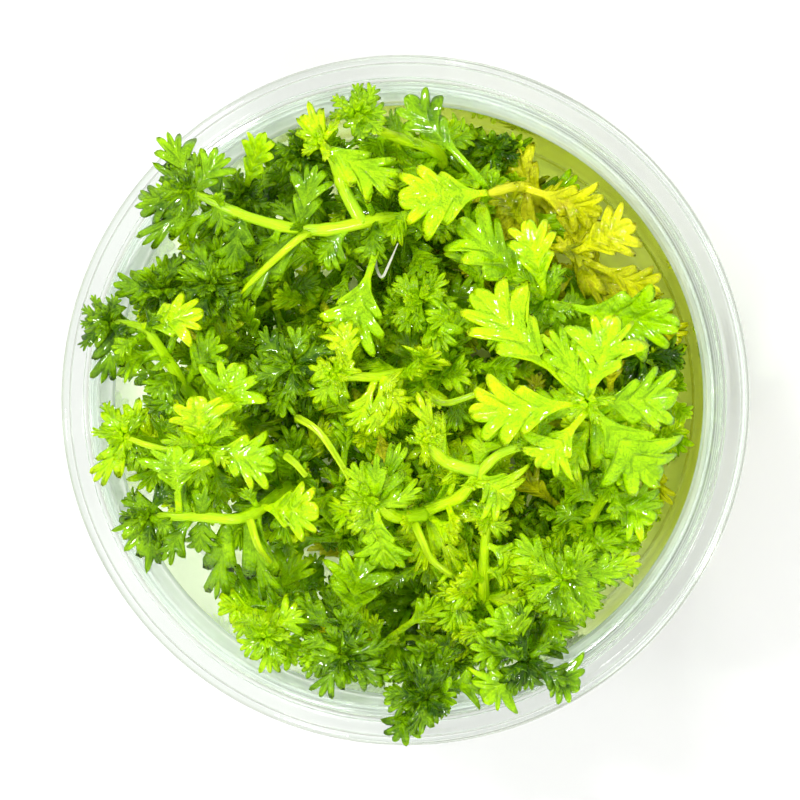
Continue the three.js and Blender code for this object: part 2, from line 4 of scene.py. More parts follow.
import bpy
import numpy as np
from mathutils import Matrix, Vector


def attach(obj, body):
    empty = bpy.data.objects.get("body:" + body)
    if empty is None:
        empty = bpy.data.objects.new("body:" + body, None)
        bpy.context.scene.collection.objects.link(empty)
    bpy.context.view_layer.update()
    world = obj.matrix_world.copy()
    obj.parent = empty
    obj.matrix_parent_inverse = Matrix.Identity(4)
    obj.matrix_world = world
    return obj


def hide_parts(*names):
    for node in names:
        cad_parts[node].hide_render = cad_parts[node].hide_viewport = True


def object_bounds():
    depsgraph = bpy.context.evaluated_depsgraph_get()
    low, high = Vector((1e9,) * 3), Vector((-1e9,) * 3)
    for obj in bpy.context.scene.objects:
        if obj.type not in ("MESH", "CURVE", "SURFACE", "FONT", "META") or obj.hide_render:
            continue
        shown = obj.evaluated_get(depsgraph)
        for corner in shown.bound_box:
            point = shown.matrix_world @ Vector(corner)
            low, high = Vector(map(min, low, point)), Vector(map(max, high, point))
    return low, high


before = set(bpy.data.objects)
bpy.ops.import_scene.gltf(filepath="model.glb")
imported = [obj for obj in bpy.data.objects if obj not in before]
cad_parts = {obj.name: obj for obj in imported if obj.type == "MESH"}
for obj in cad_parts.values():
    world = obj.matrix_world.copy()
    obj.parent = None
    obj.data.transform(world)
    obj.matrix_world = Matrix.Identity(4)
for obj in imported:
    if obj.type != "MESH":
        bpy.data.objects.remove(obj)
cad_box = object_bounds()

# Lengths are in millimetres until a mesh is made, where MM makes them metres. The studio's are in metres.
MM = 0.001

# The cup and the gel, as in the solids
RIM_RADIUS = 40
CUP_HEIGHT = 54
NECK_RADIUS = 35.5
NECK_DEPTH = 6.7
NECK_FOOT = CUP_HEIGHT - NECK_DEPTH
STEP = 0.4
WALL = 1.05
FLOOR = 1.3
BASE_RADIUS = 32.9
FOOT_OUTER = 31.8
FOOT_INNER = 29.4
FOOT_RECESS = 0.6
FLANGE = 1.2
LIP_DROP = 1.1
LIP_WIDTH = 0.8
GEL_TOP = 20
MENISCUS = 0.7
GAP = 0.3
STEM_FOOT = 17
CUP_SEGMENTS = 256

# The photograph's camera: the picture is 800 pixels wide and the cup's rim is centred on this pixel.
PICTURE_WIDTH = 800
CENTRE_X = 402.5
CENTRE_Y = 400
PIXELS_PER_MM = 8.65
DISTANCE = 420
LEAN = math.radians(4.5)
SENSOR = 36
FOCAL = PIXELS_PER_MM * DISTANCE
EYE = (DISTANCE * math.sin(LEAN), 0, CUP_HEIGHT + DISTANCE * math.cos(LEAN))

# Plantlets
STEM_RADIUS = 0.78
STALK_HALF_WIDTH = 0.42
BLADE_THICKNESS = 0.26
CROWN_SPACING = 0.62
CROWN_ARCH = 0.1
MOST_ROLL = 0.35
LOW_LEAF_TOP = 46
LOW_LEAF_SPREAD = 6
LOW_LEAF_REACH = 7.6
LOW_LEAF_LIFT = 1.6
LOW_LEAF_WIDTH = 5.2

UP = np.array((0.0, 0.0, 1.0))

# Shoots by the numbers of their solids: tint, path, crown and side. The path is the picture point and height
# of each point of the stem, from its foot, which has no height of its own where it stands in the gel. The
# crown is the picture point and height of the tip of each leaf of the crown, and that leaf's width. The side
# is the same for leaves lower down, after their place on the path.
SHOOTS = {
    1: ("dark", [(408, 262), (404, 240, 42), (392, 218, 52), (319, 230, 56), (255, 219, 58.5),
        (188, 190, 60)], [(168, 132, 60, 5.4), (225, 153, 60, 5), (134, 206, 59, 5.4), (142, 245, 58.5, 4),
        (152, 162, 61, 3.4)], [(3.3, 316, 164, 58, 5), (4.2, 232, 274, 55, 5.4), (4.6, 228, 232, 58, 4.4),
        (3.2, 240, 300, 55, 4.6)]),
    2: ("dark", [(222, 440), (210, 415, 42), (189, 393, 50), (166, 357, 54.5), (143, 329, 57.5),
        (108, 322, 59)], [(112, 299, 60, 3.4), (84, 345, 58, 3.4), (87, 318, 59.5, 3.2), (133, 347, 59, 4),
        (102, 384, 57, 4.4)], [(1.6, 240, 372, 54, 5), (2.6, 152, 398, 55, 5)]),
    3: ("dark", [(300, 470), (295, 482, 42), (284, 490, 49), (245, 517, 54.5), (200, 517, 56.5),
        (148, 516, 57.5)], [(111, 531, 58, 3.4), (124, 552, 57, 3.4), (146, 574, 57, 3.4),
        (177, 551, 57, 3.4), (121, 500, 58, 3.4)], [(3.9, 198, 553, 54, 5), (3.4, 216, 600, 48, 4),
        (3, 276, 606, 50, 4.6), (4, 207, 484, 58, 3.4)]),
    4: ("dark", [(186, 335), (176, 315, 38), (163, 290, 53.5)], [(113, 284, 57, 4.6), (166, 254, 54, 4.6),
        (190, 256, 53, 4), (192, 300, 52, 4.6), (131, 308, 52, 4)], []),
    5: ("dark", [(232, 326), (222, 304, 40), (212, 284, 54)], [(194, 243, 55, 4.4), (234, 260, 56, 4.4),
        (242, 306, 55, 4.6), (205, 318, 54, 4.6), (176, 270, 55, 4)], []),
    6: ("dark", [(256, 240), (249, 218, 40), (242, 197, 52)], [(222, 176, 53, 3.2), (262, 180, 53, 3.2),
        (220, 208, 52, 3.2)], []),
    7: ("dark", [(314, 204), (308, 178, 40), (301, 153, 53)], [(281, 148, 54, 3.2), (286, 170, 54, 3),
        (306, 128, 55, 3.2), (326, 150, 54, 3.2), (320, 178, 54, 3.2)], []),
    8: ("bright", [(362, 223, 54.2), (344, 189, 55.5), (334, 160, 57), (321, 143, 58)], [(308, 101, 59, 3.4),
        (398, 188, 57, 6)], [(2.5, 296, 118, 59, 2.6)]),
    9: ("green", [(450, 196), (444, 168, 42), (434, 150, 50), (398, 138, 54), (372, 126, 56), (358, 114, 57)],
        [(341, 101, 57.5, 3.6), (365, 98, 58, 3.6), (387, 112, 57.5, 4), (343, 127, 57, 3.6)], []),
    10: ("dark", [(302, 392), (298, 378, 40), (293, 365, 57)], [(262, 352, 57, 4), (272, 334, 58, 4),
        (300, 326, 58, 4), (318, 396, 57, 3.6), (286, 402, 57, 4), (262, 384, 57, 4)], []),
    11: ("bright", [(442, 396), (432, 384, 43), (411, 373, 52), (376, 377, 55.5), (334, 375, 58)],
        [(308, 366, 59, 3.4), (314, 404, 57, 4.4), (336, 400, 57, 3.4), (354, 360, 58, 3.2),
        (337, 348, 58, 3.4)], []),
    12: ("yellow", [(556, 232), (544, 208, 40), (524, 187, 50), (488, 193, 56)], [], [(2, 484, 234, 43, 3.4),
        (1.9, 521, 288, 42, 4), (1.8, 500, 250, 46, 3)]),
    13: ("yellow", [(590, 306), (582, 280, 40), (573, 253, 51)], [(604, 310, 48, 3.4), (556, 236, 50, 3)],
        []),
    14: ("green", [(560, 338), (556, 320, 42), (546, 300, 57)], [(556, 262, 58, 3.4), (520, 316, 57, 4),
        (566, 322, 58, 3.6)], []),
    15: ("bright", [(604, 436), (600, 428, 44), (593, 414, 60), (588, 402, 66)], [(550, 329, 67, 5.2)],
        [(2, 612, 482, 56, 3.6)]),
    16: ("dark", [(502, 176), (498, 164, 34), (494, 151, 46)], [(470, 140, 47, 3.4), (494, 122, 48, 3.4),
        (520, 140, 47, 3.4), (518, 166, 46, 3.4), (474, 166, 46, 3.4)], []),
    17: ("dark", [(648, 380), (645, 368, 34), (641, 357, 46)], [(612, 352, 47, 3.4), (640, 328, 48, 3.4),
        (668, 348, 47, 3.4), (664, 376, 46, 3.4), (628, 384, 46, 3.4)], []),
    18: ("bright", [(434, 548), (431, 528, 44), (425, 512, 54), (459, 497, 58), (480, 472, 60),
        (502, 453, 60.5), (536, 443, 61)], [(560, 432, 62, 3)], [(2, 462, 572, 53, 4.6)]),
    19: ("green", [(424, 514, 55.4), (398, 517, 58), (382, 508, 60), (370, 498, 61.5)], [(352, 462, 63, 3.8),
        (377, 453, 64, 3.6), (401, 442, 63, 3.8), (423, 488, 61.5, 4), (340, 496, 62, 3.8),
        (346, 528, 60, 3.8)], []),
    20: ("bright", [(480, 472, 60), (447, 462, 59), (425, 441, 61)], [(419, 420, 62, 2.4),
        (434, 426, 62.4, 2.2)], [(1, 416, 392, 60, 4)]),
    21: ("green", [(577, 548), (572, 562, 42), (563, 579, 60)], [(514, 540, 60, 4.8), (592, 543, 61, 4.4),
        (628, 567, 58, 5), (601, 606, 59, 4.8), (550, 616, 58, 5), (526, 598, 59, 4.4)], []),
    22: ("dark", [(522, 622), (524, 642, 42), (527, 661, 57.5)], [(533, 690, 57, 4), (507, 690, 57, 4),
        (549, 681, 57, 3.6)], []),
    23: ("dark", [(434, 640), (430, 664, 42), (425, 698, 57.5)], [(420, 736, 57.5, 3.4), (438, 724, 57.5, 3),
        (440, 704, 57.5, 3.4), (384, 704, 57, 5), (402, 710, 57.5, 3)], [(1.6, 405, 662, 52, 5),
        (1.7, 456, 704, 57, 5)]),
    24: ("dark", [(352, 618), (348, 634, 42), (343, 653, 56)], [(306, 660, 56, 4.4), (320, 697, 56.5, 4.4),
        (382, 682, 56, 5), (370, 634, 56, 4), (326, 628, 56, 4)], []),
    25: ("green", [(282, 576), (275, 598, 40), (265, 637, 55.5)], [(247, 614, 56, 3.8), (240, 650, 56.5, 3.8),
        (270, 673, 56.5, 4), (303, 611, 55, 5), (288, 649, 55, 3.8)], []),
    26: ("green", [(178, 450), (170, 447, 44), (126, 436, 57)], [(101, 412, 58, 3.4), (107, 452, 57, 3.2),
        (94, 482, 57.5, 4), (140, 398, 58, 3.6), (146, 470, 56, 4)], []),
    27: ("green", [(222, 474), (214, 462, 42), (205, 446, 57)], [(160, 440, 58, 4.4), (196, 490, 57, 4.4)],
        []),
    28: ("bright", [(484, 646), (484, 606, 46), (484, 560, 53.5), (487, 520, 57)], [(470, 500, 57, 3),
        (512, 530, 57, 4)], [(1.2, 548, 604, 52, 4), (1.2, 446, 590, 53, 5), (1, 452, 640, 51, 5)]),
    29: ("green", [(574, 520), (583, 528, 44), (600, 504, 51), (614, 484, 55)], [(640, 480, 55, 3.6)],
        [(1, 630, 548, 50, 5)]),
    30: ("green", [(432, 336), (428, 320, 40), (420, 300, 52)], [(396, 276, 53, 4), (446, 272, 53, 4.4),
        (458, 306, 52, 4), (398, 332, 54, 4), (448, 352, 54, 5)], []),
}
for number, (tint, (foot, *path), crown, side) in SHOOTS.items():
    SHOOTS[number] = {"tint": tint, "path": [(*foot, STEM_FOOT)[:3], *path], "crown": crown, "side": side}

# Large leaves by the numbers of their solids: tint, the stem and the place on its path that the leaf grows
# from, picture point and height of its tip, width, the share of its length that is stalk, and how far its
# midrib rises as a share of it.
LEAVES = {
    1: ("bright", 12, 3, (398, 200, 60.5), 9.6, 0.12, 0.08),
    2: ("dark", 12, 2.9, (405, 96, 58), 6.4, 0.45, 0.04),
    3: ("yellow", 12, 2.1, (602, 214, 49), 6.4, 0.3, 0.14),
    4: ("yellow", 13, 2, (647, 213, 55.5), 7.4, 0.18, 0.08),
    5: ("yellow", 13, 1.9, (660, 294, 51), 5.4, 0.4, 0.1),
    6: ("bright", 14, 2, (527, 220, 61), 6.4, 0.2, 0.06),
    7: ("green", 14, 1.8, (458, 222, 54), 9, 0.24, 0.08),
    8: ("green", 14, 1.9, (680, 327, 59), 9.4, 0.3, 0.06),
    9: ("bright", 15, 3, (614, 315, 69), 8.6, 0.2, 0.05),
    10: ("green", 15, 2.95, (678, 396, 64), 8.6, 0.18, 0.08),
    11: ("green", 15, 2.9, (660, 484, 60), 11, 0.2, 0.1),
    12: ("bright", 15, 2.6, (540, 468, 62), 7.4, 0.35, 0.08),
    13: ("bright", 15, 3, (469, 414, 66), 8.6, 0.22, 0.06),
    14: ("bright", 15, 2.5, (472, 290, 61), 9.6, 0.34, 0.06),
    15: ("bright", 18, 3.9, (512, 503, 59), 8.4, 0.1, 0.12),
    16: ("green", 19, 2.6, (389, 570, 56), 6.6, 0.25, 0.14),
    17: ("dark", 22, 2, (580, 688, 57.5), 7, 0.34, 0.08),
    18: ("green", 22, 1.9, (482, 700, 56.5), 7.4, 0.24, 0.1),
    19: ("green", 22, 1.8, (500, 606, 57), 7.4, 0.26, 0.08),
    20: ("green", 29, 2.4, (655, 521, 55), 7.4, 0.22, 0.06),
    21: ("bright", 27, 2, (195, 396, 60), 8, 0.12, 0.08),
    22: ("green", 27, 1.95, (276, 468, 57), 8, 0.16, 0.1),
    23: ("green", 27, 1.8, (240, 363, 58), 8.6, 0.34, 0.04),
    24: ("green", 1, 2.1, (345, 352, 56), 9.4, 0.45, 0.06),
    25: ("bright", 2, 4.1, (204, 312, 59), 6.6, 0.14, 0.08),
    26: ("green", 3, 4.4, (174, 446, 60), 8, 0.36, 0.05),
    27: ("bright", 3, 2.6, (320, 513, 57), 8, 0.12, 0.1),
    28: ("green", 6, 1.9, (264, 132, 58), 4.4, 0.3, 0.05),
}

# Leaves below the canopy: the directions that they grow in from each shoot, in degrees from +X
LOW_LEAVES = {
    1: [60, 300], 2: [30, 150, 270], 3: [150, 210], 5: [90, 210], 10: [240], 11: [120], 12: [120, 240, 330],
    13: [90, 210, 330], 14: [30, 150], 15: [60, 300], 18: [270], 21: [150, 240], 22: [60, 150], 24: [60, 150],
    25: [60, 150], 27: [30, 150, 270], 28: [90, 180], 29: [60, 210], 30: [30, 240],
}

# Leaves that hide behind the large ones or are too small for solids of their own. Each grows from the place
# on the path of its stem, to the picture point and height of its tip.
MORE_LEAVES = {
    1: [(2.6, 318, 262, 55, 6.4), (3.6, 268, 262, 54, 5.4), (2.2, 372, 262, 53, 5)],
    2: [(2.2, 220, 336, 56, 6.6), (3.2, 116, 366, 55, 5), (2.4, 168, 414, 55, 5)],
    3: [(1.2, 288, 450, 57, 6), (1, 310, 474, 56.5, 5), (4.2, 176, 490, 55, 4.6), (3.4, 246, 540, 52, 5)],
    4: [(1.8, 135, 262, 55, 4), (1.7, 150, 316, 52, 4.4), (1.5, 200, 276, 50, 4.4)],
    5: [(1.8, 222, 236, 53, 4), (1.7, 258, 284, 52, 5), (1.6, 180, 296, 51, 4.4)],
    6: [(1.7, 262, 204, 50, 4), (1.6, 236, 180, 50, 3.6)],
    7: [(1.8, 276, 160, 52, 3.6), (1.6, 336, 168, 51, 4.4)],
    9: [(3, 396, 158, 50, 5), (3.4, 370, 150, 52, 4.4), (1.9, 470, 128, 48, 5)],
    10: [(1.9, 308, 346, 56, 4), (1.8, 250, 366, 54, 4.6), (1.6, 326, 372, 52, 4.6), (1.7, 276, 416, 53, 5)],
    11: [(3.6, 340, 322, 57, 5), (2.9, 396, 386, 56, 4), (2.9, 407, 414, 55.5, 4.4), (2.8, 398, 430, 55, 4),
        (2.8, 376, 438, 55, 4.4), (3, 354, 432, 55, 4.6), (1.6, 430, 348, 56, 5.6), (1.3, 470, 372, 52, 5)],
    12: [(1.6, 560, 196, 44, 4), (1.4, 580, 244, 42, 4)],
    14: [(1.5, 516, 278, 50, 5), (1.6, 584, 300, 50, 5)],
    15: [(1.6, 566, 372, 52, 6), (1.4, 628, 442, 50, 6), (1.2, 560, 424, 48, 6), (1.3, 640, 400, 48, 6)],
    17: [(1.6, 684, 354, 48, 4.6), (1.4, 672, 392, 46, 4)],
    18: [(1.8, 404, 548, 50, 5), (2.8, 452, 470, 53, 5), (3.6, 470, 440, 54, 4.6), (1.6, 456, 540, 50, 6)],
    19: [(2.8, 362, 530, 58, 4.6), (1.8, 330, 512, 54, 4.6), (2.4, 410, 462, 58, 3.8)],
    20: [(1.6, 440, 430, 58, 3.4), (0.8, 452, 484, 57, 3.6)],
    21: [(1.6, 656, 574, 54, 4.4), (1.5, 618, 532, 52, 5), (1.6, 540, 560, 54, 5), (1.4, 590, 628, 50, 4.6),
        (1.7, 572, 616, 56, 4.4)],
    22: [(1.6, 552, 630, 52, 5), (1.5, 496, 652, 50, 5), (1.7, 548, 700, 54, 4)],
    23: [(1.7, 404, 728, 54, 4), (1.3, 428, 640, 50, 5), (1.6, 470, 728, 52, 4.6)],
    24: [(1.6, 296, 686, 54, 3.8), (1.5, 362, 614, 52, 5), (1.2, 362, 552, 52, 8), (1.7, 346, 700, 54, 4.6)],
    25: [(1.6, 232, 626, 52, 4), (1.5, 296, 668, 52, 4.6), (1.3, 270, 590, 48, 5)],
    26: [(1.7, 110, 470, 54, 4), (1.3, 170, 418, 54, 5), (1.2, 148, 492, 52, 5)],
    27: [(1.8, 178, 508, 55, 4.6), (1.7, 236, 424, 54, 5), (1.5, 226, 504, 50, 5.4), (1.4, 250, 440, 52, 5)],
    28: [(1.8, 516, 576, 52, 5), (1.6, 446, 560, 50, 6), (2.4, 520, 560, 54, 4.6)],
    29: [(2, 570, 484, 50, 5), (2.4, 660, 498, 50, 4.4), (1.3, 556, 506, 48, 5)],
    30: [(1.5, 442, 338, 54, 4), (1.4, 384, 308, 52, 5), (1.6, 424, 262, 50, 4.6), (1.3, 470, 330, 50, 5)],
}

# Thin branches between the shoots, as picture points and heights, on the stem that carries them.
BRANCHES = {
    1: [[(312, 233, 55), (301, 237, 58), (272, 262, 57), (250, 284, 55.5), (240, 298, 54)]],
    3: [[(286, 456, 57), (296, 464, 58), (306, 476, 57.5)], [(250, 520, 56), (258, 545, 57), (270, 562, 54)]],
    9: [[(404, 138, 53), (386, 132, 56), (372, 122, 57.5)]],
    10: [[(298, 420, 50), (300, 419, 57), (320, 433, 58.5), (341, 464, 59), (352, 484, 59)]],
    11: [[(424, 392, 52), (430, 396, 57), (447, 403, 58), (482, 392, 58.5)]],
    19: [[(414, 522, 56), (422, 540, 57), (432, 560, 56), (452, 576, 55)]],
    26: [[(205, 446, 54), (180, 452, 58), (150, 446, 58.5), (128, 438, 58)]],
}

# Leaf outlines from the foot of the blade to its tip: the place on the midrib, the half-width and the place
# of the edge, as shares of the blade. Tips of teeth and the notches after them take turns.
OUTLINES = {
    "broad": [(0.14, 0.62, 0.43), (0.25, 0.42, 0.48), (0.31, 1.0, 0.7), (0.47, 0.46, 0.67),
        (0.52, 0.68, 0.93), (0.66, 0.3, 0.83)],
    "medium": [(0.15, 0.74, 0.5), (0.29, 0.38, 0.52), (0.34, 1.0, 0.8), (0.5, 0.4, 0.72), (0.57, 0.52, 0.98),
        (0.71, 0.18, 0.86)],
    "small": [(0.22, 0.95, 0.64), (0.42, 0.36, 0.61), (0.49, 0.62, 0.95), (0.66, 0.2, 0.81)],
    "tiny": [(0.34, 0.95, 0.76), (0.56, 0.28, 0.71)],
}
# For each outline: the shares of the half-width that its rows have points at, the steps along one side of a
# tooth and how blunt its teeth are.
FINENESS = {
    "broad": ((0, 0.3, 0.6, 0.86, 1), 4, 0.36),
    "medium": ((0, 0.36, 0.72, 1), 3, 0.33),
    "small": ((0, 0.45, 1), 3, 0.33),
    "tiny": ((0, 0.5, 1), 2, 0.33),
}
MEDIUM_FROM = 4.8
SMALL_FROM = 3.7

# Edges of blades: how far the widths and places of teeth and of notches stray, the width at the foot as a
# share of the half-width, how far up a vein leaves the midrib, the bluntness of the lowest teeth and which
# way the edge starts, and how long the handles of the curves are beside their chords.
TOOTH_STRAY = (0.2, 0.045)
NOTCH_STRAY = (0.15, 0.02)
BLADE_FOOT = 0.09
VEIN_FOOT = 0.8
LOWEST_BLUNT = 0.14
LOWEST_START = (0.12, 1)
HANDLE = 0.45
LEAST_HALF_WIDTH = 0.03

# Relief of blades: the ranges of how much their halves fold up, their edges droop and wave and their tips
# lift, the swelling between veins, and the half-width of the midrib, as a share of the leaf's width and in
# millimetres.
FOLD = (0.08, 0.32)
DROOP = (-0.07, 0.56)
WAVE_COUNT = (3, 7)
WAVE_HEIGHT = (0.03, 0.1)
TIP_LIFT = (-0.0325, 0.0175)
SWELL = 0.034
MIDRIB_SHARE = 0.035
MIDRIB_LEAST = 0.08
STALK_ROWS = 3
STALK_SHARE = 0.9
# How much lighter a leaf is towards its tip, towards its edge and on its stalk, and how much painted light
# and shade its waves get, lighter where they rise and darker where they sink
TIP_TONE = 0.2
EDGE_TONE = 0.17
STALK_TONE = 0.3
WAVE_LIGHT_AND_SHADE = 0.08

# Room that the foliage keeps from the cup's rim and wall and from the gel and the top of the CAD box, how
# fast it may sink inwards from the rim, the room of leaf tips, how far inside the neck a leaf's tip and its
# start count as over the rim, and how far out anything reaches.
RIM_ROOM = 0.5
WALL_ROOM = 0.4
HEIGHT_ROOM = 0.4
RIM_SLOPE = 1.6
RIM_EDGE = 0.3
TIP_ROOM = 2
TIP_OVER = 0.9
START_OVER = 3
REACH = 43.6

# Stems: steps of a path, joints, the radius and the tone along it, and the branches
STEM_STEPS = 10
JOINT_SPACING = 5.5
JOINT_SWELL = 0.14
STEM_TAPER = ((0, 0.7, 1), (1, 0.95, 0.62))
STEM_TONES = ((0, 0.6, 1), (0.6, 0.86, 0.85))
DARK_STEM_TONES = ((0, 0.6, 1), (0.6, 0.86, 0.66))
BRANCH_STEPS = 24
BRANCH_RADII = (0.5, 0.34)
BRANCH_TONE = 0.9

# Whorls along the stems: their painted shade by height, darker deep in the cup and lighter near its top, the
# lengths that stay bare at a stem's end and foot, and how flat a stem has to lie to have fewer and smaller
# ones. Buds at the ends: each of their rings has a count, length, rise and outline.
WHORL_LEAVES = 3
WHORL_SPACING = 4.6
WHORL_LENGTH = 5.6
WHORL_RISE = 0.55
WHORL_SHADE_BY_HEIGHT = ((24, 56), (-0.1, 0.08))
BARE_ENDS = {"dark": 5, "green": 9, "bright": 9}
BARE_FOOT = 4
FLAT_FROM = 0.6
FLAT_LOSS = 1.2
BUD_SIZES = {"dark": 3.5, "green": 3.0, "bright": 2.0}
BUD_RINGS = ((5, 1, 0.3, "small"), (3, 0.7, 0.85, "small"), (2, 0.45, 1.25, "tiny"))
BUD_STEP = 0.35
BUD_LIFT = 1.2
DARK_BUD = 0.1

# What varies from leaf to leaf in a whorl and on a low shoot: the offset of its draw and the ends of its
# range. The width is a share of the reach, and the other shares are add_leaf's.
WHORL_LEAF = {
    "lift": (11, -0.25, 0.25), "reach": (23, 0.8, 1.5), "width": (5, 0.52, 0.76), "tone": (37, -0.15, 0.15),
    "roll": (41, -0.65, 0.65), "stalk": (47, 0.1, 0.45), "arch": (43, 0, 0.16),
}
LOW_SHOOT_LEAF = {
    "lift": (40, 0.2, 0.9), "reach": (20, 6.2, 10.7), "width": (50, 0.38, 0.6), "tone": (60, -0.15, 0.15),
    "roll": (70, -0.55, 0.55), "stalk": (80, 0.28, 0.58), "arch": (90, 0, 0.2),
}

# Low shoots between the others, spread over the picture as in a sunflower: how many, how far out, their
# heights and tones, how far their feet and bends stray, their radii, leaves, and the share of leaves that
# wilted.
LOW_SHOOTS = 92
SPREAD = 272
SPREAD_CENTRE = (403, 400)
GOLDEN_ANGLE = 2.39996
LOW_SHOOT_HEIGHT = (36, 49)
LOW_SHOOT_TONE = (0.38, 0.8)
FOOT_STRAY = 13
BEND_STRAY = 3.5
FOOT_LIMIT = 29
TOP_LIMIT = 30
LOW_SHOOT_RADII = (0.74, 0.5)
LOW_SHOOT_STEPS = 14
LOW_SHOOT_LEAVES = 9
MEDIUM_LEAVES = 7
LEAF_TURN = 2.4
WILTED_RIGHT_OF = 480
WILTED_SHARES = (0.05, 0.14)

# Openings in the foliage, where the gel or the wall shows: picture point and radius. Low shoots and the tips
# of their leaves keep these distances from them.
BARE = [
    (205, 560, 36), (296, 594, 24), (240, 545, 16), (120, 500, 30), (241, 430, 16), (392, 260, 14),
    (130, 400, 16), (170, 620, 30), (240, 330, 9), (566, 208, 26), (632, 252, 20), (260, 186, 12),
    (256, 250, 7), (322, 204, 5), (383, 168, 8),
]
SHOOT_CLEARANCE = 16
LEAF_CLEARANCE = 8

# Roots: how many below a shoot, their points, the ranges of their reach and depth, how much they wander, how
# far out they get and their radius. A loose thread lies on top.
ROOTS = 4
ROOT_POINTS = 5
ROOT_REACH = (3, 8)
ROOT_DEPTH = (2, 11)
ROOT_WANDER = 0.6
ROOT_LIMIT = 31
ROOT_RADIUS = 0.22
CURL = [(376, 248, 51), (376, 266, 53), (382, 277, 55), (389, 264, 56), (398, 243, 57)]
CURL_RADIUS = 0.2
THREAD_STEPS = 8

TONES = {"dark": 0.13, "green": 0.5, "bright": 0.72, "yellow": 0.62}
SIDE_LEAF_TONE = 0.12
MORE_LEAF_TONE = 0.1
MORE_LEAF_STALK = 0.28
MORE_LEAF_ROLL = 0.4
LARGE_LEAF_TONE = 0.05
TONE_STRAY = (0.1, 0.12)
# A full turn, near enough for what is left to chance
TURN = 6.28
# The materials' places on each piece of foliage
LEAF, STEM, WILTED = 0, 1, 2


def chance(n, low=0, high=1):
    """A repeatable number between low and high, which depends on n alone."""
    s = math.sin(n * 127.1 + 311.7) * 43758.5453
    return low + (high - low) * (s - math.floor(s))


def stray(n, most):
    """A repeatable number between -most and most."""
    return most * (2 * chance(n) - 1)


def unit(v):
    return v / np.maximum(np.linalg.norm(v, axis=-1, keepdims=True), 1e-9)


def heading(turn, lift=0.0):
    """The unit vector at an angle round the Z axis and an angle above the floor."""
    return np.array((math.cos(turn) * math.cos(lift), math.sin(turn) * math.cos(lift), math.sin(lift)))


def spot(x, y, z):
    """Where a picture point at a height is."""
    sin, cos = math.sin(LEAN), math.cos(LEAN)
    across, up = (x - CENTRE_X) / FOCAL, (CENTRE_Y - y) / FOCAL
    ray = np.array((-sin + cos * across, up, -cos - sin * across))
    return EYE + ray * (z - EYE[2]) / ray[2]


def inner_radius(z):
    """The radius of the cup's inside at a height."""
    neck = NECK_RADIUS - STEP * (CUP_HEIGHT - z) / NECK_DEPTH
    wall = BASE_RADIUS + (NECK_RADIUS - 2 * STEP - BASE_RADIUS) * z / NECK_FOOT
    return np.where(z > NECK_FOOT, neck, wall)


def clear_of_cup(points, over_rim):
    """How far to move points of the foliage off the cup: up over its rim, or inwards from its wall."""
    r = np.hypot(points[:, 0], points[:, 1])
    z = points[:, 2].copy()
    rim = CUP_HEIGHT + RIM_ROOM
    if over_rim:
        z = np.maximum(z, rim - RIM_SLOPE * np.maximum(NECK_RADIUS - RIM_EDGE - r, 0))
    wall = inner_radius(z) - WALL_ROOM
    near = (z < rim - 0.01) & (r > wall)
    shrink = np.where(near, wall / np.maximum(r, 1), 1) / np.maximum(r / REACH, 1)
    z = np.clip(z, GEL_TOP + HEIGHT_ROOM, cad_box[1].z / MM - HEIGHT_ROOM)
    return np.column_stack((points[:, :2] * shrink[:, None], z)) - points


def settled(tip, start):
    """The tip of a leaf, kept inside the cup where the leaf starts inside it, and else over its rim."""
    r = math.hypot(tip[0], tip[1])
    inside = inner_radius(tip[2]) - TIP_ROOM
    if r < inside or tip[2] > CUP_HEIGHT + TIP_ROOM:
        return tip
    if math.hypot(start[0], start[1]) > NECK_RADIUS - START_OVER and start[2] > CUP_HEIGHT:
        return np.array((tip[0], tip[1], CUP_HEIGHT + TIP_ROOM))
    return np.array((tip[0] * inside / r, tip[1] * inside / r, tip[2]))


def add_object(name, data):
    thing = bpy.data.objects.new(name, data)
    bpy.context.scene.collection.objects.link(thing)
    return thing


def place_piece(name, mesh, nodes):
    """Puts a mesh in the scene as a piece that rides on the part and stands for its nodes."""
    piece = add_object(name, mesh)
    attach(piece, "root")
    if nodes:
        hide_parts(*nodes)


class Skin:
    """A mesh in the making: points in millimetres, four-sided faces, and for each point its place on its leaf
    and its look, which is how much vein it has and how light its tone is."""

    def __init__(self):
        self.points, self.faces, self.places, self.looks, self.materials = [], [], [], [], []
        self.count = 0

    def add(self, points, faces, places, looks, material):
        self.points.append(points)
        self.faces.append(faces + self.count)
        self.places.append(places)
        self.looks.append(looks)
        self.materials.append(np.full(len(faces), material))
        self.count += len(points)

    def mesh(self, name, materials):
        faces = np.vstack(self.faces)
        mesh = bpy.data.meshes.new(name)
        mesh.vertices.add(self.count)
        mesh.vertices.foreach_set("co", (np.vstack(self.points) * MM).astype(np.float32).ravel())
        mesh.loops.add(faces.size)
        mesh.loops.foreach_set("vertex_index", faces.astype(np.int32).ravel())
        mesh.polygons.add(len(faces))
        mesh.polygons.foreach_set("loop_start", np.arange(0, faces.size, 4, dtype=np.int32))
        mesh.polygons.foreach_set("material_index", np.concatenate(self.materials).astype(np.int32))
        for layer, values in (("place", self.places), ("look", self.looks)):
            layer = mesh.uv_layers.new(name=layer)
            layer.data.foreach_set("uv", np.vstack(values)[faces.ravel()].astype(np.float32).ravel())
        for material in materials:
            mesh.materials.append(material)
        mesh.update(calc_edges=True)
        mesh.shade_smooth()
        return mesh


def grid_faces(rows, columns, start=0, closed=False):
    """Four-sided faces over a grid of points. closed joins the last column to the first."""
    r, c = np.meshgrid(np.arange(rows - 1), np.arange(columns if closed else columns - 1), indexing="ij")
    r, c = r.ravel() * columns, c.ravel()
    n = (c + 1) % columns
    return start + np.stack((r + c, r + n, r + columns + n, r + columns + c), axis=1)


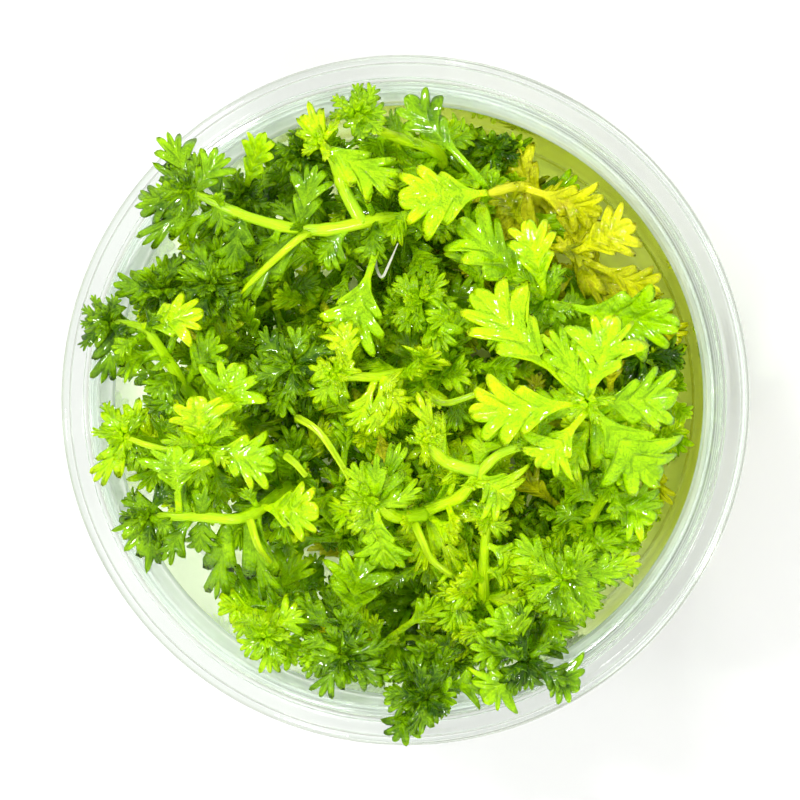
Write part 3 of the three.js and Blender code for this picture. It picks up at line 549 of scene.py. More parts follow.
def shell_faces(rows, columns):
    """Faces of both sides of a leaf, which share their points along the edge, at the foot and at the tip."""
    grid = np.arange(rows * columns).reshape(rows, columns)
    same = np.arange(2 * grid.size)
    for shared in (grid[:, 0], grid[:, -1], grid[0], grid[-1]):
        same[shared + grid.size] = shared
    return np.vstack((grid_faces(rows, columns), same[grid_faces(rows, columns, start=grid.size)[:, ::-1]]))


def catmull(points, share):
    """A point of the smooth curve through points. share runs from 0 to 1."""
    last = len(points) - 1
    at = min(max(share, 0), 1) * last
    k = min(int(at), last - 1)
    t = at - k
    p1, p2 = points[k], points[k + 1]
    p0 = points[k - 1] if k > 0 else 2 * p1 - p2
    p3 = points[k + 2] if k + 2 <= last else 2 * p2 - p1
    m1, m2 = 0.5 * (p2 - p0), 0.5 * (p3 - p1)
    return (((2 * p1 - 2 * p2 + m1 + m2) * t - 3 * p1 + 3 * p2 - 2 * m1 - m2) * t + m1) * t + p1


def bow(a, b, c, t):
    """Points of the arch from a to c that leans towards b."""
    return (1 - t) ** 2 * a + 2 * (1 - t) * t * b + t ** 2 * c


def bezier(a, b, c, d, t):
    return (1 - t) ** 3 * a + 3 * (1 - t) ** 2 * t * b + 3 * (1 - t) * t ** 2 * c + t ** 3 * d


def curve_through(rows, steps):
    points = [spot(*row) for row in rows]
    return np.array([catmull(points, k / steps) for k in range(steps + 1)])


def line_length(line):
    return np.concatenate(([0], np.cumsum(np.linalg.norm(np.diff(line, axis=0), axis=1))))


def on_stem(number, place, below=0):
    """The point of a stem at a place on its path, or a length below it."""
    points = [spot(*row) for row in SHOOTS[number]["path"]]
    length = line_length(curve_through(SHOOTS[number]["path"], 200))[-1]
    return catmull(points, place / (len(points) - 1) - below / length)


def add_tube(skin, line, radii, tone, material, sides=10):
    """A round tube with closed ends along a line of points."""
    forward = unit(np.gradient(line, axis=0))
    side = unit(np.cross(forward[0], (0.3, 1, 0.2)))
    angles = np.arange(sides) * 2 * math.pi / sides
    rings = []
    for centre, ahead, radius in zip(line, forward, radii):
        side = unit(side - ahead * np.dot(side, ahead))
        ring = np.cos(angles)[:, None] * side + np.sin(angles)[:, None] * np.cross(ahead, side)
        rings.append(centre + ring * radius)
    rows = len(line)
    faces = [grid_faces(rows, sides, closed=True)]
    for row, turn in ((0, -1), (rows - 1, 1)):
        for k in range(sides // 2 - 1):
            cap = np.array([k, k + 1, sides - 2 - k, sides - 1 - k])[::turn]
            faces.append(cap[None] + row * sides)
    along = np.repeat(line_length(line) / 10, sides)
    places = np.stack((np.tile(np.arange(sides) / sides, rows), along), axis=1)
    looks = np.stack((np.zeros(rows * sides), np.repeat(np.broadcast_to(tone, rows), sides)), axis=1)
    skin.add(np.vstack(rings), np.vstack(faces), places, looks, material)


def half_outline(outline, half, length, seed):
    """Rows of one half of a blade from its foot to its tip: place on the midrib, half-width of the edge,
    place of the edge and how much of a vein runs there."""
    _, steps, blunt = FINENESS[outline]
    marks = []
    for k, (middle, width, edge) in enumerate(OUTLINES[outline]):
        wider, further = NOTCH_STRAY if k % 2 else TOOTH_STRAY
        width *= 1 + stray(seed + 7.3 * k, wider)
        edge += stray(seed + 3.1 * k + 57, further)
        marks.append((middle, np.array((width * half, edge * length))))
    marks.append((1.0, np.array((0.0, length))))
    t = (np.arange(steps) + 1) / steps
    place, low = 0.0, np.array((max(STALK_HALF_WIDTH, BLADE_FOOT * half), 0.0))
    rows = [[(0.0, low[0], 0.0, 0.0)]]
    for k in range(0, len(marks), 2):
        middle, high = marks[k]
        last = k + 1 == len(marks)
        axis = np.array((0.0, 1.0)) if last else unit(high - np.array((0, VEIN_FOOT * middle * length)))
        after_place, after = (1.0, low * (-1, 1)) if last else marks[k + 1]
        roundness = (blunt if k else LOWEST_BLUNT) * np.linalg.norm(after - low)
        rounding = np.array((-axis[1], axis[0])) * roundness
        start = (axis if k else unit(np.array(LOWEST_START))) * np.linalg.norm(high - low) * HANDLE
        rise = bezier(low, low + start, high - rounding, high, t[:, None])
        rows.append(np.column_stack((place + (middle - place) * t, rise, t ** 3)))
        if not last:
            end = axis * np.linalg.norm(high - after) * HANDLE
            fall = bezier(high, high + rounding, after + end, after, t[:, None])
            rows.append(np.column_stack((middle + (after_place - middle) * t, fall, (1 - t) ** 3)))
            place, low = after_place, after
    rows = np.vstack(rows)
    rows[:, 1] = np.maximum(rows[:, 1], LEAST_HALF_WIDTH)
    rows[:, 2] /= length
    return rows


def leaf_points(leaf, along, across, above):
    """Points of a leaf: place along the midrib, how far across it and how far above the blade."""
    start, tip = leaf["from"], leaf["tip"]
    middle = (start + tip) / 2 + UP * leaf["arch"] * np.linalg.norm(tip - start)
    t = along[:, None]
    forward = unit(2 * (1 - t) * (middle - start) + 2 * t * (tip - middle))
    side = unit(np.cross(forward, UP))
    side = side * math.cos(leaf["roll"]) + np.cross(forward, side) * math.sin(leaf["roll"])
    return bow(start, middle, tip, t) + side * across[:, None] + np.cross(side, forward) * above[:, None]


def leaf_grid(leaf, columns, seed):
    """Rows of points from the foot of a leaf's stalk to its tip: place along it, how far across and vein."""
    stalk = leaf["stalk"]
    length = np.linalg.norm(leaf["tip"] - leaf["from"]) * (1 - stalk)
    halves = [half_outline(leaf["outline"], leaf["width"] / 2, length, seed + 31 * side) for side in (0, 1)]
    foot = STALK_ROWS if stalk > 0 else 0
    along, across, vein = np.zeros((3, len(halves[0]) + foot, len(columns)))
    along[:foot] = np.linspace(0, stalk, foot, endpoint=False)[:, None]
    across[:foot] = STALK_HALF_WIDTH * columns
    for c, column in enumerate(columns):
        middle, width, edge, veined = halves[0 if column < 0 else 1].T
        along[foot:, c] = stalk + (1 - stalk) * (middle + (edge - middle) * abs(column))
        across[foot:, c] = width * column
        vein[foot:, c] = veined
    return along, across, vein


def add_leaf(skin, leaf, seed, material):
    """A leaf as a thin closed shell. Its veins are sunk, and the blade swells between them."""
    shares = np.array(FINENESS[leaf["outline"]][0], float)
    columns = np.concatenate((-shares[:0:-1], shares))
    along, across, vein = leaf_grid(leaf, columns, seed)
    stalk, size = leaf["stalk"], leaf["width"]
    share, wide = np.broadcast_to(np.abs(columns), along.shape), np.abs(across)
    edge = share ** 2
    blade = np.clip((along - stalk) / (1 - stalk), 0, 1)
    midrib = np.exp(-(wide / (MIDRIB_SHARE * size + MIDRIB_LEAST)) ** 2)
    waves = np.sin(chance(seed + 5, *WAVE_COUNT) * blade + chance(seed + 4, 0, TURN) + 1.7 * np.sign(across))
    above = (chance(seed + 1, *FOLD) - chance(seed + 2, *DROOP) * edge * blade) * wide
    above += chance(seed + 3, *WAVE_HEIGHT) * size * waves * edge * np.minimum(blade * 3, 1)
    above += chance(seed + 6, *TIP_LIFT) * size * blade ** 2
    between_veins = (1 - np.maximum(vein, midrib)) * np.sin(math.pi * share)
    above += SWELL * size * between_veins * np.minimum(blade * 4, 1)
    stalky = np.clip(1 - blade * (7 if stalk > 0 else 10), 0, 1)
    thin = BLADE_THICKNESS / 2 * (1 + 1.6 * midrib * (1 - blade))
    thick = np.sqrt(1 - edge) * (thin * (1 - stalky) + STALK_HALF_WIDTH * STALK_SHARE * stalky)
    thick[0] = thick[-1] = 0
    tone = leaf["tone"] + TIP_TONE * (blade - 0.6) + EDGE_TONE * (edge - 0.4)
    # Painted light and shade: the waves of the blade are lighter where they rise and darker where they sink.
    tone += STALK_TONE * stalky + WAVE_LIGHT_AND_SHADE * waves * share
    veins = np.maximum(vein * (1 - 0.5 * edge), midrib) * np.minimum(blade * 5, 1)
    looks = np.stack((veins.ravel(), tone.ravel()), axis=1)
    places = np.stack((0.5 + 0.5 * across.ravel() / size, along.ravel()), axis=1)
    flat = along.ravel(), across.ravel()
    over_rim = math.hypot(*leaf["tip"][:2]) > NECK_RADIUS - TIP_OVER
    moved = clear_of_cup(leaf_points(leaf, *flat, above.ravel()), over_rim)
    sides = [leaf_points(leaf, *flat, (above + way * thick).ravel()) + moved for way in (1, -1)]
    used, faces = np.unique(shell_faces(*along.shape), return_inverse=True)
    points, looks, places = (np.vstack(pair)[used] for pair in (sides, (looks, looks), (places, places)))
    skin.add(points, faces.reshape(-1, 4), places, looks, material)


def leaf_from(start, tip, width, tone, roll=0.0, stalk=0.0, arch=CROWN_ARCH, outline=None):
    """What add_leaf has to know of a leaf. Its outline follows its width unless it is given."""
    by_width = "medium" if width >= MEDIUM_FROM else "small" if width >= SMALL_FROM else "tiny"
    return {
        "from": np.asarray(start, float),
        "tip": settled(np.asarray(tip, float), start),
        "width": width,
        # Painted light and shade: leaves are lighter towards -X, the side of the key lamp, and darker towards
        # +X.
        "tone": tone - 0.1 * tip[0] / RIM_RADIUS,
        "roll": roll,
        "stalk": stalk,
        "arch": arch,
        "outline": outline or by_width,
    }


def drawn(ranges, seed):
    """One value from each range of a table."""
    return {name: chance(seed + offset, low, high) for name, (offset, low, high) in ranges.items()}


def add_whorl(skin, centre, ahead, count, length, rise, tone, seed, outline):
    """A ring of small leaves round a stem. rise is the angle that they stand up along the stem."""
    side = unit(np.cross(ahead, (0.31, 0.87, 0.2)))
    other = np.cross(ahead, side)
    for k in range(count):
        draw = drawn(WHORL_LEAF, seed + k)
        turn = 2 * math.pi * (k + chance(seed + k, 0, 0.7)) / count + chance(seed, 0, TURN)
        out = math.cos(turn) * side + math.sin(turn) * other
        lift, reach = rise + draw["lift"], length * draw["reach"]
        tip = centre + out * STEM_RADIUS * 0.7 + (out * math.cos(lift) + ahead * math.sin(lift)) * reach
        leaf = leaf_from(
            centre + out * STEM_RADIUS * 0.5, tip, reach * draw["width"], tone + draw["tone"], draw["roll"],
            draw["stalk"], draw["arch"], outline,
        )
        add_leaf(skin, leaf, seed + 97 * k, LEAF)


def add_bud(skin, centre, ahead, size, tone, seed):
    """The young leaves that stand close together at the end of a shoot."""
    for ring, (count, length, rise, outline) in enumerate(BUD_RINGS):
        foot = centre + ahead * BUD_STEP * ring
        add_whorl(skin, foot, ahead, count, size * length, rise, tone, seed + 5.7 * ring, outline)


def add_low_shoot(skin, x, y, height, tone, seed):
    """A low shoot among the others: long-stalked leaves round its top, and a few further down."""
    foot = spot(x + stray(seed + 1, FOOT_STRAY), y + stray(seed + 2, FOOT_STRAY), STEM_FOOT)
    top = spot(x, y, height)
    for point, limit in ((foot, FOOT_LIMIT), (top, TOP_LIMIT)):
        point[:2] *= min(1, limit / math.hypot(point[0], point[1]))
    bend = (foot + top) / 2 + np.array((stray(seed + 3, BEND_STRAY), stray(seed + 4, BEND_STRAY), 0))
    line = bow(foot, bend, top, np.linspace(0, 1, LOW_SHOOT_STEPS)[:, None])
    add_tube(skin, line, np.linspace(*LOW_SHOOT_RADII, LOW_SHOOT_STEPS), tone + 0.3, STEM, sides=8)
    wilted_share = WILTED_SHARES[x > WILTED_RIGHT_OF]
    for k in range(LOW_SHOOT_LEAVES):
        draw = drawn(LOW_SHOOT_LEAF, seed + k)
        low = k / (LOW_SHOOT_LEAVES - 1)
        start = line[LOW_SHOOT_STEPS - 1 - int(low * 5)]
        turn = LEAF_TURN * k + chance(seed + 5, 0, TURN)
        reach, lift = draw["reach"] - 1.5 * low, draw["lift"] - 0.5 * low
        tip = start + heading(turn, lift) * reach
        rooms = [(spot(a, b, tip[2]), (r + LEAF_CLEARANCE) / PIXELS_PER_MM) for a, b, r in BARE]
        if any(math.hypot(*(tip - middle)[:2]) < room for middle, room in rooms):
            continue
        leaf = leaf_from(
            start, tip, reach * draw["width"], tone - 0.2 * low + draw["tone"], draw["roll"], draw["stalk"],
            draw["arch"], "medium" if k < MEDIUM_LEAVES else "small",
        )
        add_leaf(skin, leaf, seed + 101 * k, WILTED if chance(seed + 110 + k) < wilted_share else LEAF)
    add_whorl(skin, top, UP, 4, 3.2, 0.8, tone + 0.05, seed + 83, "small")


def low_shoots():
    """The low shoots between the others, as picture point, height and tone, by their nearest stem."""
    found = {number: [] for number in SHOOTS}
    for k in range(LOW_SHOOTS):
        radius = SPREAD * math.sqrt((k + 0.5) / LOW_SHOOTS)
        x = SPREAD_CENTRE[0] + radius * math.cos(GOLDEN_ANGLE * k)
        y = SPREAD_CENTRE[1] + radius * math.sin(GOLDEN_ANGLE * k)
        if any(math.hypot(x - a, y - b) < r + SHOOT_CLEARANCE for a, b, r in BARE):
            continue
        nearest = min(SHOOTS, key=lambda n: math.dist((x, y), SHOOTS[n]["path"][0][:2]))
        found[nearest].append((x, y, chance(k + 0.5, *LOW_SHOOT_HEIGHT), chance(k + 0.9, *LOW_SHOOT_TONE)))
    return found


def add_stem(skin, number):
    """The stem of a shoot with its joints and branches. Gives back its line and the lengths along it."""
    path = SHOOTS[number]["path"]
    line = curve_through(path, STEM_STEPS * (len(path) - 1))
    length = line_length(line)
    joints = 1 + JOINT_SWELL * np.maximum(0, np.cos(length * 2 * math.pi / JOINT_SPACING)) ** 6
    radii = STEM_RADIUS * np.interp(length / length[-1], *STEM_TAPER) * joints
    radii[-1] *= 0.5
    tones = DARK_STEM_TONES if SHOOTS[number]["tint"] == "dark" else STEM_TONES
    add_tube(skin, line, radii, np.interp(length / length[-1], *tones), STEM)
    for branch in BRANCHES.get(number, []):
        thin = curve_through(branch, BRANCH_STEPS)
        add_tube(skin, thin, np.linspace(*BRANCH_RADII, BRANCH_STEPS + 1), BRANCH_TONE, STEM, sides=8)
    return line, length


def add_shoot_leaves(skin, number, line):
    """The leaves of a shoot that have places of their own: crown, side, more and low leaves."""
    shoot, index = SHOOTS[number], number - 1
    tone = TONES[shoot["tint"]]
    last = len(shoot["path"]) - 1
    rows = []
    for k, (*tip, width) in enumerate(shoot["crown"]):
        rows.append((on_stem(number, last, CROWN_SPACING * (k + 1)), tip, width, tone))
    for place, *tip, width in shoot["side"]:
        rows.append((on_stem(number, place), tip, width, tone + SIDE_LEAF_TONE))
    for k, (start, tip, width, shade) in enumerate(rows):
        roll = stray(10 * index + k + 100, MOST_ROLL)
        shade += stray(index + 7 * k, TONE_STRAY[0])
        add_leaf(skin, leaf_from(start, spot(*tip), width, shade, roll), 200 * index + 17 * k, LEAF)
    for k, (place, *tip, width) in enumerate(MORE_LEAVES.get(number, [])):
        shade = tone + MORE_LEAF_TONE + stray(index + 5 * k + 3, TONE_STRAY[1])
        roll, start = stray(index + 9 * k, MORE_LEAF_ROLL), on_stem(number, place)
        leaf = leaf_from(start, spot(*tip), width, shade, roll, MORE_LEAF_STALK, outline="medium")
        add_leaf(skin, leaf, 300 * index + 19 * k, LEAF)
    start = line[np.argmax(line[:, 2] > LOW_LEAF_TOP - chance(index + 40, 0, LOW_LEAF_SPREAD))]
    for k, degrees in enumerate(LOW_LEAVES.get(number, [])):
        tip = start + heading(math.radians(degrees)) * LOW_LEAF_REACH + UP * LOW_LEAF_LIFT
        leaf = leaf_from(start, tip, LOW_LEAF_WIDTH, tone, outline="medium")
        add_leaf(skin, leaf, 700 * index + 23 * k, LEAF)


def add_young_leaves(skin, number, line, length):
    """The bud at the end of a shoot and the whorls down its stem."""
    tint, index = SHOOTS[number]["tint"], number - 1
    tone = TONES[tint]
    if SHOOTS[number]["crown"]:
        ahead = unit(unit(line[-1] - line[-4]) + UP * BUD_LIFT)
        shade = tone - (DARK_BUD if tint == "dark" else 0)
        add_bud(skin, line[-1], ahead, BUD_SIZES[tint], shade, 900 + 40 * index)
    for k, at in enumerate(np.arange(length[-1] - BARE_ENDS[tint], BARE_FOOT, -WHORL_SPACING)):
        row = int(np.searchsorted(length, at))
        centre = line[row]
        if centre[2] < GEL_TOP + BARE_FOOT:
            break
        ahead = unit(line[min(row + 1, len(line) - 1)] - line[row - 1])
        flat = 1 - abs(ahead[2])
        if flat > FLAT_FROM and k % 2:
            continue
        # Painted shade: whorls low in the cup are darker and those near its top lighter.
        shade = tone + np.interp(centre[2], *WHORL_SHADE_BY_HEIGHT)
        reach, seed = WHORL_LENGTH - FLAT_LOSS * flat, 1300 + 60 * index + 7 * k
        add_whorl(skin, centre, ahead, WHORL_LEAVES, reach, WHORL_RISE, shade, seed, "small")


def build_shoot(number, neighbours):
    """A stem with all its leaves, and the low shoots next to it."""
    skin = Skin()
    line, length = add_stem(skin, number)
    add_shoot_leaves(skin, number, line)
    if SHOOTS[number]["tint"] != "yellow":
        add_young_leaves(skin, number, line, length)
    for k, row in enumerate(neighbours):
        add_low_shoot(skin, *row, 4900 + 100 * number + 10 * k)
    return skin


def add_thread(skin, points, radius, tone):
    points = [np.array(p, float) for p in points]
    steps = THREAD_STEPS * len(points)
    line = np.array([catmull(points, k / steps) for k in range(steps + 1)])
    radii = radius * np.interp(np.linspace(0, 1, steps + 1), (0, 0.8, 1), (1, 0.8, 0.3))
    add_tube(skin, line, radii, tone, LEAF, sides=6)


def build_roots():
    """White roots below each shoot, running down through the gel from the foot of its stem."""
    skin = Skin()
    for index, shoot in enumerate(SHOOTS.values()):
        foot = spot(*shoot["path"][0])
        for k in range(ROOTS if foot[2] < GEL_TOP else 0):
            seed = 50 * index + 11 * k
            turn, reach = chance(seed, 0, TURN), chance(seed + 1, *ROOT_REACH)
            points = [foot + UP * 0.4]
            for step in range(1, ROOT_POINTS + 1):
                share = step / ROOT_POINTS
                angle = turn + stray(seed + step, ROOT_WANDER)
                x = foot[0] + reach * share * math.cos(angle)
                y = foot[1] + reach * share * math.sin(angle)
                shrink = min(1, ROOT_LIMIT / max(math.hypot(x, y), 1))
                points.append((x * shrink, y * shrink, STEM_FOOT - chance(seed + 2, *ROOT_DEPTH) * share))
            add_thread(skin, points, ROOT_RADIUS, 0.6)
    add_thread(skin, [spot(*row) for row in CURL], CURL_RADIUS, 0.9)
    return skin


# Materials

class Nodes:
    """A material in the making, with a short call for each kind of node that is used here."""

    def __init__(self, name):
        self.material = bpy.data.materials.new(name)
        self.material.use_nodes = True
        self.nodes = self.material.node_tree.nodes
        self.nodes.clear()
        self.link = self.material.node_tree.links.new
        self.place = self.add("TexCoord").outputs["Object"]

    def add(self, kind, *values, **settings):
        """A node, with its settings, and its first inputs set to numbers or linked to other nodes."""
        node = self.nodes.new("ShaderNode" + kind)
        for key, value in settings.items():
            setattr(node, key, value)
        for socket, value in zip(node.inputs, values):
            self.put(socket, value)
        return node

    def put(self, socket, value):
        if isinstance(value, bpy.types.NodeSocket):
            self.link(value, socket)
        elif value is not None:
            socket.default_value = value

    def set(self, node, **values):
        """Sets or links inputs by name, with _ for each space in the name."""
        for key, value in values.items():
            self.put(node.inputs[key.replace("_", " ")], value)
        return node

    def noise(self, vector, scale, detail=3, roughness=0.55):
        node = self.set(self.add("TexNoise"), Vector=vector, Scale=scale, Detail=detail, Roughness=roughness)
        return node.outputs["Fac"]

    def mapped(self, value, low, high, to_low, to_high):
        return self.add("MapRange", value, low, high, to_low, to_high).outputs["Result"]

    def combine(self, operation, a, b):
        return self.add("Math", a, b, operation=operation).outputs["Value"]

    def vector(self, operation, *values):
        return self.add("VectorMath", *values, operation=operation)

    def ramp(self, value, stops):
        node = self.add("ValToRGB", value)
        while len(node.color_ramp.elements) < len(stops):
            node.color_ramp.elements.new(0.5)
        for element, (place, colour) in zip(node.color_ramp.elements, stops):
            element.position = place
            element.color = (*colour, 1)
        return node.outputs["Color"]

    def tinted(self, colour, factor, other):
        node = self.add("Mix", data_type="RGBA")
        for socket, value in ((0, factor), (6, colour), (7, (*other, 1))):
            self.put(node.inputs[socket], value)
        return node.outputs[2]

    def bumped(self, height, strength, distance):
        node = self.set(self.add("Bump"), Strength=strength, Distance=distance, Height=height)
        return node.outputs["Normal"]

    def look(self):
        """The vein and the tone that the mesh keeps in its second UV layer."""
        parts = self.add("SeparateXYZ", self.add("UVMap", uv_map="look").outputs["UV"])
        return parts.outputs["X"], parts.outputs["Y"]

    def mix(self, factor, first, second):
        return self.add("MixShader", factor, first.outputs[0], second.outputs[0])

    def finish(self, shader):
        return self.add("OutputMaterial", shader.outputs[0])


GREENS = [
    (0.0, (0.05, 0.16, 0.0005)),
    (0.25, (0.24, 0.48, 0.0005)),
    (0.5, (0.39, 0.70, 0.001)),
    (0.75, (0.55, 0.88, 0.002)),
    (1.0, (0.74, 0.97, 0.003)),
]
YELLOWS = [
    (0.0, (0.12, 0.18, 0.001)),
    (0.3, (0.42, 0.50, 0.002)),
    (0.6, (0.80, 0.82, 0.006)),
    (1.0, (0.90, 0.91, 0.030)),
]


def foliage(name, stops, fleck):
    """Leaf tissue: mottled between its tones, paler along the veins, wet, and lit through from behind."""
    make = Nodes(name)
    vein, tone = make.look()
    patches = make.noise(make.place, 190)
    cells = make.noise(make.place, 1500, 2, 0.7)
    patched = make.combine("ADD", tone, make.mapped(patches, 0.3, 0.7, -0.17, 0.17))
    grained = make.combine("ADD", patched, make.mapped(cells, 0.3, 0.7, -0.05, 0.05))
    veined = make.combine("ADD", grained, make.combine("MULTIPLY", vein, 0.25))
    flecks = make.mapped(make.noise(make.place, 620, 2), 0.62, 0.72, 0, fleck)
    colour = make.tinted(make.ramp(veined, stops), flecks, (0.55, 0.42, 0.03))
    lit = make.set(make.add("Gamma"), Color=colour, Gamma=0.65)
    crinkle = make.combine("MULTIPLY", make.noise(make.place, 640), 3.2)
    sunk = make.combine("MULTIPLY", vein, 1.2)
    normal = make.bumped(make.combine("SUBTRACT", make.combine("ADD", cells, crinkle), sunk), 0.85, 0.0005)
    shader = make.set(
        make.add("BsdfPrincipled"), Base_Color=colour, Roughness=make.mapped(patches, 0.35, 0.65, 0.2, 0.45),
        Normal=normal, Specular_IOR_Level=0.4, Specular_Tint=(0.8, 1, 0.05, 1), Coat_Weight=0.9,
        Coat_Roughness=0.08,
    )
    glow = make.set(make.add("BsdfTranslucent"), Color=lit.outputs["Color"], Normal=normal)
    make.finish(make.mix(0.56, shader, glow))
    return make.material


def stalk_material(name, stops):
    """Stem tissue: pale, streaked along its length, with a wet sheen."""
    make = Nodes(name)
    place = make.add("UVMap", uv_map="place").outputs["UV"]
    stretched = make.set(make.add("Mapping"), Vector=place, Scale=(9, 1.2, 1)).outputs["Vector"]
    streaks = make.noise(stretched, 3, 3, 0.6)
    patches = make.noise(make.place, 260)
    tone = make.combine("ADD", make.look()[1], make.mapped(streaks, 0.3, 0.7, -0.1, 0.1))
    tone = make.combine("ADD", tone, make.mapped(patches, 0.3, 0.7, -0.08, 0.08))
    colour = make.ramp(tone, stops)
    height = make.combine("ADD", streaks, make.combine("MULTIPLY", patches, 0.8))
    shader = make.set(
        make.add("BsdfPrincipled"), Base_Color=colour, Roughness=make.mapped(patches, 0.35, 0.65, 0.2, 0.42),
        Normal=make.bumped(height, 0.9, 0.0004), Specular_IOR_Level=0.3, Coat_Weight=0.4, Coat_Roughness=0.1,
    )
    make.finish(make.mix(0.35, shader, make.set(make.add("BsdfTranslucent"), Color=colour)))
    return make.material


# How cloudy the neck is, and the painted shade that darkens the flange a little and its moulded rings and
# outer edge more, by radius within RINGED
RINGED = (35, 40)
HAZE = [
    (35.0, 0.54), (35.42, 0.54), (35.55, 0.3), (35.75, 0.34), (35.92, 0.2), (36.08, 0.2), (36.2, 0.42),
    (36.32, 0.24), (36.45, 0.4), (36.8, 0),
]
RING_SHADE = [(36.6, 0), (36.75, 0.8), (36.9, 0.8), (37.05, 0.2), (39.5, 0.2), (39.7, 1)]
RING_SHADE_COLOUR = (0.60, 0.62, 0.54)
SCATTERED = (0.455, 0.475, 0.455, 1)
# The plants' painted shade and reflection in the cup's wall below the neck, which on the gel is painted shade
# and partly a stain: how far up it gets, which way it deepens, and how fine its clouds are, round the wall
# and up it
SHADE_AND_STAIN_TOP = 46.2
SHADE_AND_STAIN_WAY = (25, 14, 0)
CLOUD_SCALE = 120
CLOUD_ROUND = (0.03, 0.03, 0)
CLOUD_RISE = 1.6


def see_through(
    name, tint, ior, roughness, ripple, ripple_depth, shade_and_stain, clouds, body, density, clear, led_from, veil=0.0
):
    """A clear moulded or poured material that lets the lamps through, with a little unevenness in its skin.
    tint is its colour in the neck. Below the neck its colours on both sides, which clouds stir, are the
    plants' painted shade and reflection, and on the gel painted shade and partly a stain. body and density
    are its absorption, and clear is what a lamp's light keeps. Light scatters out after more bounces than
    led_from, and veil is how milky it is."""
    make = Nodes(name)
    normal = make.bumped(make.noise(make.place, ripple), 0.4, ripple_depth)
    x, y, z = make.add("SeparateXYZ", make.place).outputs
    flat = make.add("CombineXYZ", x, y).outputs[0]
    # Below the neck the plants' green is painted into its colour as their shade and reflection, in clouds
    # that are long round the wall and short up it.
    rise = make.add("CombineXYZ", None, None, make.combine("MULTIPLY", z, CLOUD_RISE)).outputs[0]
    outward = make.vector("NORMALIZE", flat).outputs[0]
    round_wall = make.vector("MULTIPLY_ADD", outward, CLOUD_ROUND, rise).outputs[0]
    across = make.vector("DOT_PRODUCT", make.place, SHADE_AND_STAIN_WAY).outputs["Value"]
    cloud = make.mapped(make.noise(round_wall, CLOUD_SCALE), 0.3, 0.7, -clouds, clouds)
    side = make.mapped(make.combine("ADD", across, cloud), -0.3, 0.6, 0, 1)
    shaded_and_stained = make.ramp(side, list(enumerate(shade_and_stain)))
    above_shade_and_stain = make.mapped(z, SHADE_AND_STAIN_TOP * MM, (SHADE_AND_STAIN_TOP + 1) * MM, 0, 1)
    radius = make.vector("LENGTH", flat).outputs["Value"]
    by_radius = make.mapped(radius, RINGED[0] * MM, RINGED[1] * MM, 0, 1)
    # Painted shade: the flange's colour is a little darker, and darker still at its moulded rings and outer
    # edge.
    cloudy, edge = (
        make.ramp(by_radius, [((r - RINGED[0]) / (RINGED[1] - RINGED[0]), (v, v, v)) for r, v in rows])
        for rows in (HAZE, RING_SHADE)
    )
    in_neck = make.combine("MULTIPLY", above_shade_and_stain, cloudy)
    fine = make.noise(make.place, ripple * 4, 4)
    shader = make.set(
        make.add("BsdfPrincipled"), IOR=ior, Transmission_Weight=1 - veil, Normal=normal,
        Roughness=make.mapped(fine, 0.3, 0.7, roughness * 0.5, roughness * 1.5),
        Base_Color=make.tinted(make.tinted(shaded_and_stained, above_shade_and_stain, tint), edge, RING_SHADE_COLOUR),
    )
    # Light that was led along inside the walls scatters out in the end, and so it does in the cloudy neck.
    kinds = ("BsdfDiffuse", "BsdfTranslucent")
    led = make.add("AddShader", *(make.set(make.add(kind), Color=SCATTERED).outputs[0] for kind in kinds))
    path = make.add("LightPath").outputs
    late = make.combine("GREATER_THAN", path["Ray Depth"], led_from)
    within = make.mix(late, make.mix(in_neck, shader, led), led)
    lamp_path = make.set(make.add("BsdfTransparent"), Color=(*clear, 1))
    output = make.finish(make.mix(path["Is Shadow Ray"], within, lamp_path))
    absorb = make.set(make.add("VolumeAbsorption"), Color=(*body, 1), Density=density)
    make.set(output, Volume=absorb.outputs[0])
    return make.material


# Cup and gel

# Corners of the flange as radius, depth and rounding: the rib under it, and from outside in, the channel and
# the bead on top of it.
UNDER_FLANGE = ((37.2, 0, 0), (37.7, 0.15, 0.15), (38.3, 0.15, 0.15), (38.9, 0, 0))
ON_FLANGE = (
    (39.0, 0, 0.2), (38.2, 0.2, 0.2), (37.35, 0.2, 0), (37.2, 0.05, 0), (36.5, 0.05, 0), (36.35, 0, 0.1),
)
# The turned outlines stop this far from the axis.
AXIS_ROOM = 0.05
MENISCUS_REACH = 1.8
GEL_SWELL = 0.12


def lathe(profile, name, material, node, swell=0.0):
    """A turned piece: a closed outline of radii and heights about the Z axis, in millimetres. swell is how
    uneven its top is, where that is the gel's."""
    turns = np.arange(CUP_SEGMENTS) * 2 * math.pi / CUP_SEGMENTS
    circle = np.stack((np.cos(turns), np.sin(turns), np.zeros(CUP_SEGMENTS)), axis=1)
    points = np.vstack([circle * r + UP * z for r, z in profile])
    if swell:
        x, y, z = points.T
        poured = np.sin(x * 0.31 + 1) * np.cos(y * 0.27) + 0.5 * np.sin(x * 0.8 - y * 0.6)
        points[:, 2] += np.where(z > GEL_TOP - 0.1, swell * poured, 0)
    rows = len(profile)
    faces = grid_faces(rows, CUP_SEGMENTS, closed=True).tolist()
    for row, turn in ((0, -1), (rows - 1, 1)):
        faces.append(list(range(row * CUP_SEGMENTS, (row + 1) * CUP_SEGMENTS))[::turn])
    mesh = bpy.data.meshes.new(name)
    mesh.from_pydata((points * MM).tolist(), [], faces)
    mesh.materials.append(material)
    mesh.shade_smooth()
    mesh.set_sharp_from_angle(angle=math.radians(35))
    place_piece(name, mesh, [node])


def rounded(a, b, c, radius, steps=4):
    """Points that round the corner b between a and c."""
    a, b, c = (np.array(p, float) for p in (a, b, c))
    t = np.linspace(0, 1, steps + 1)[:, None]
    return [tuple(p) for p in bow(b + unit(a - b) * radius, b, b + unit(c - b) * radius, t)]


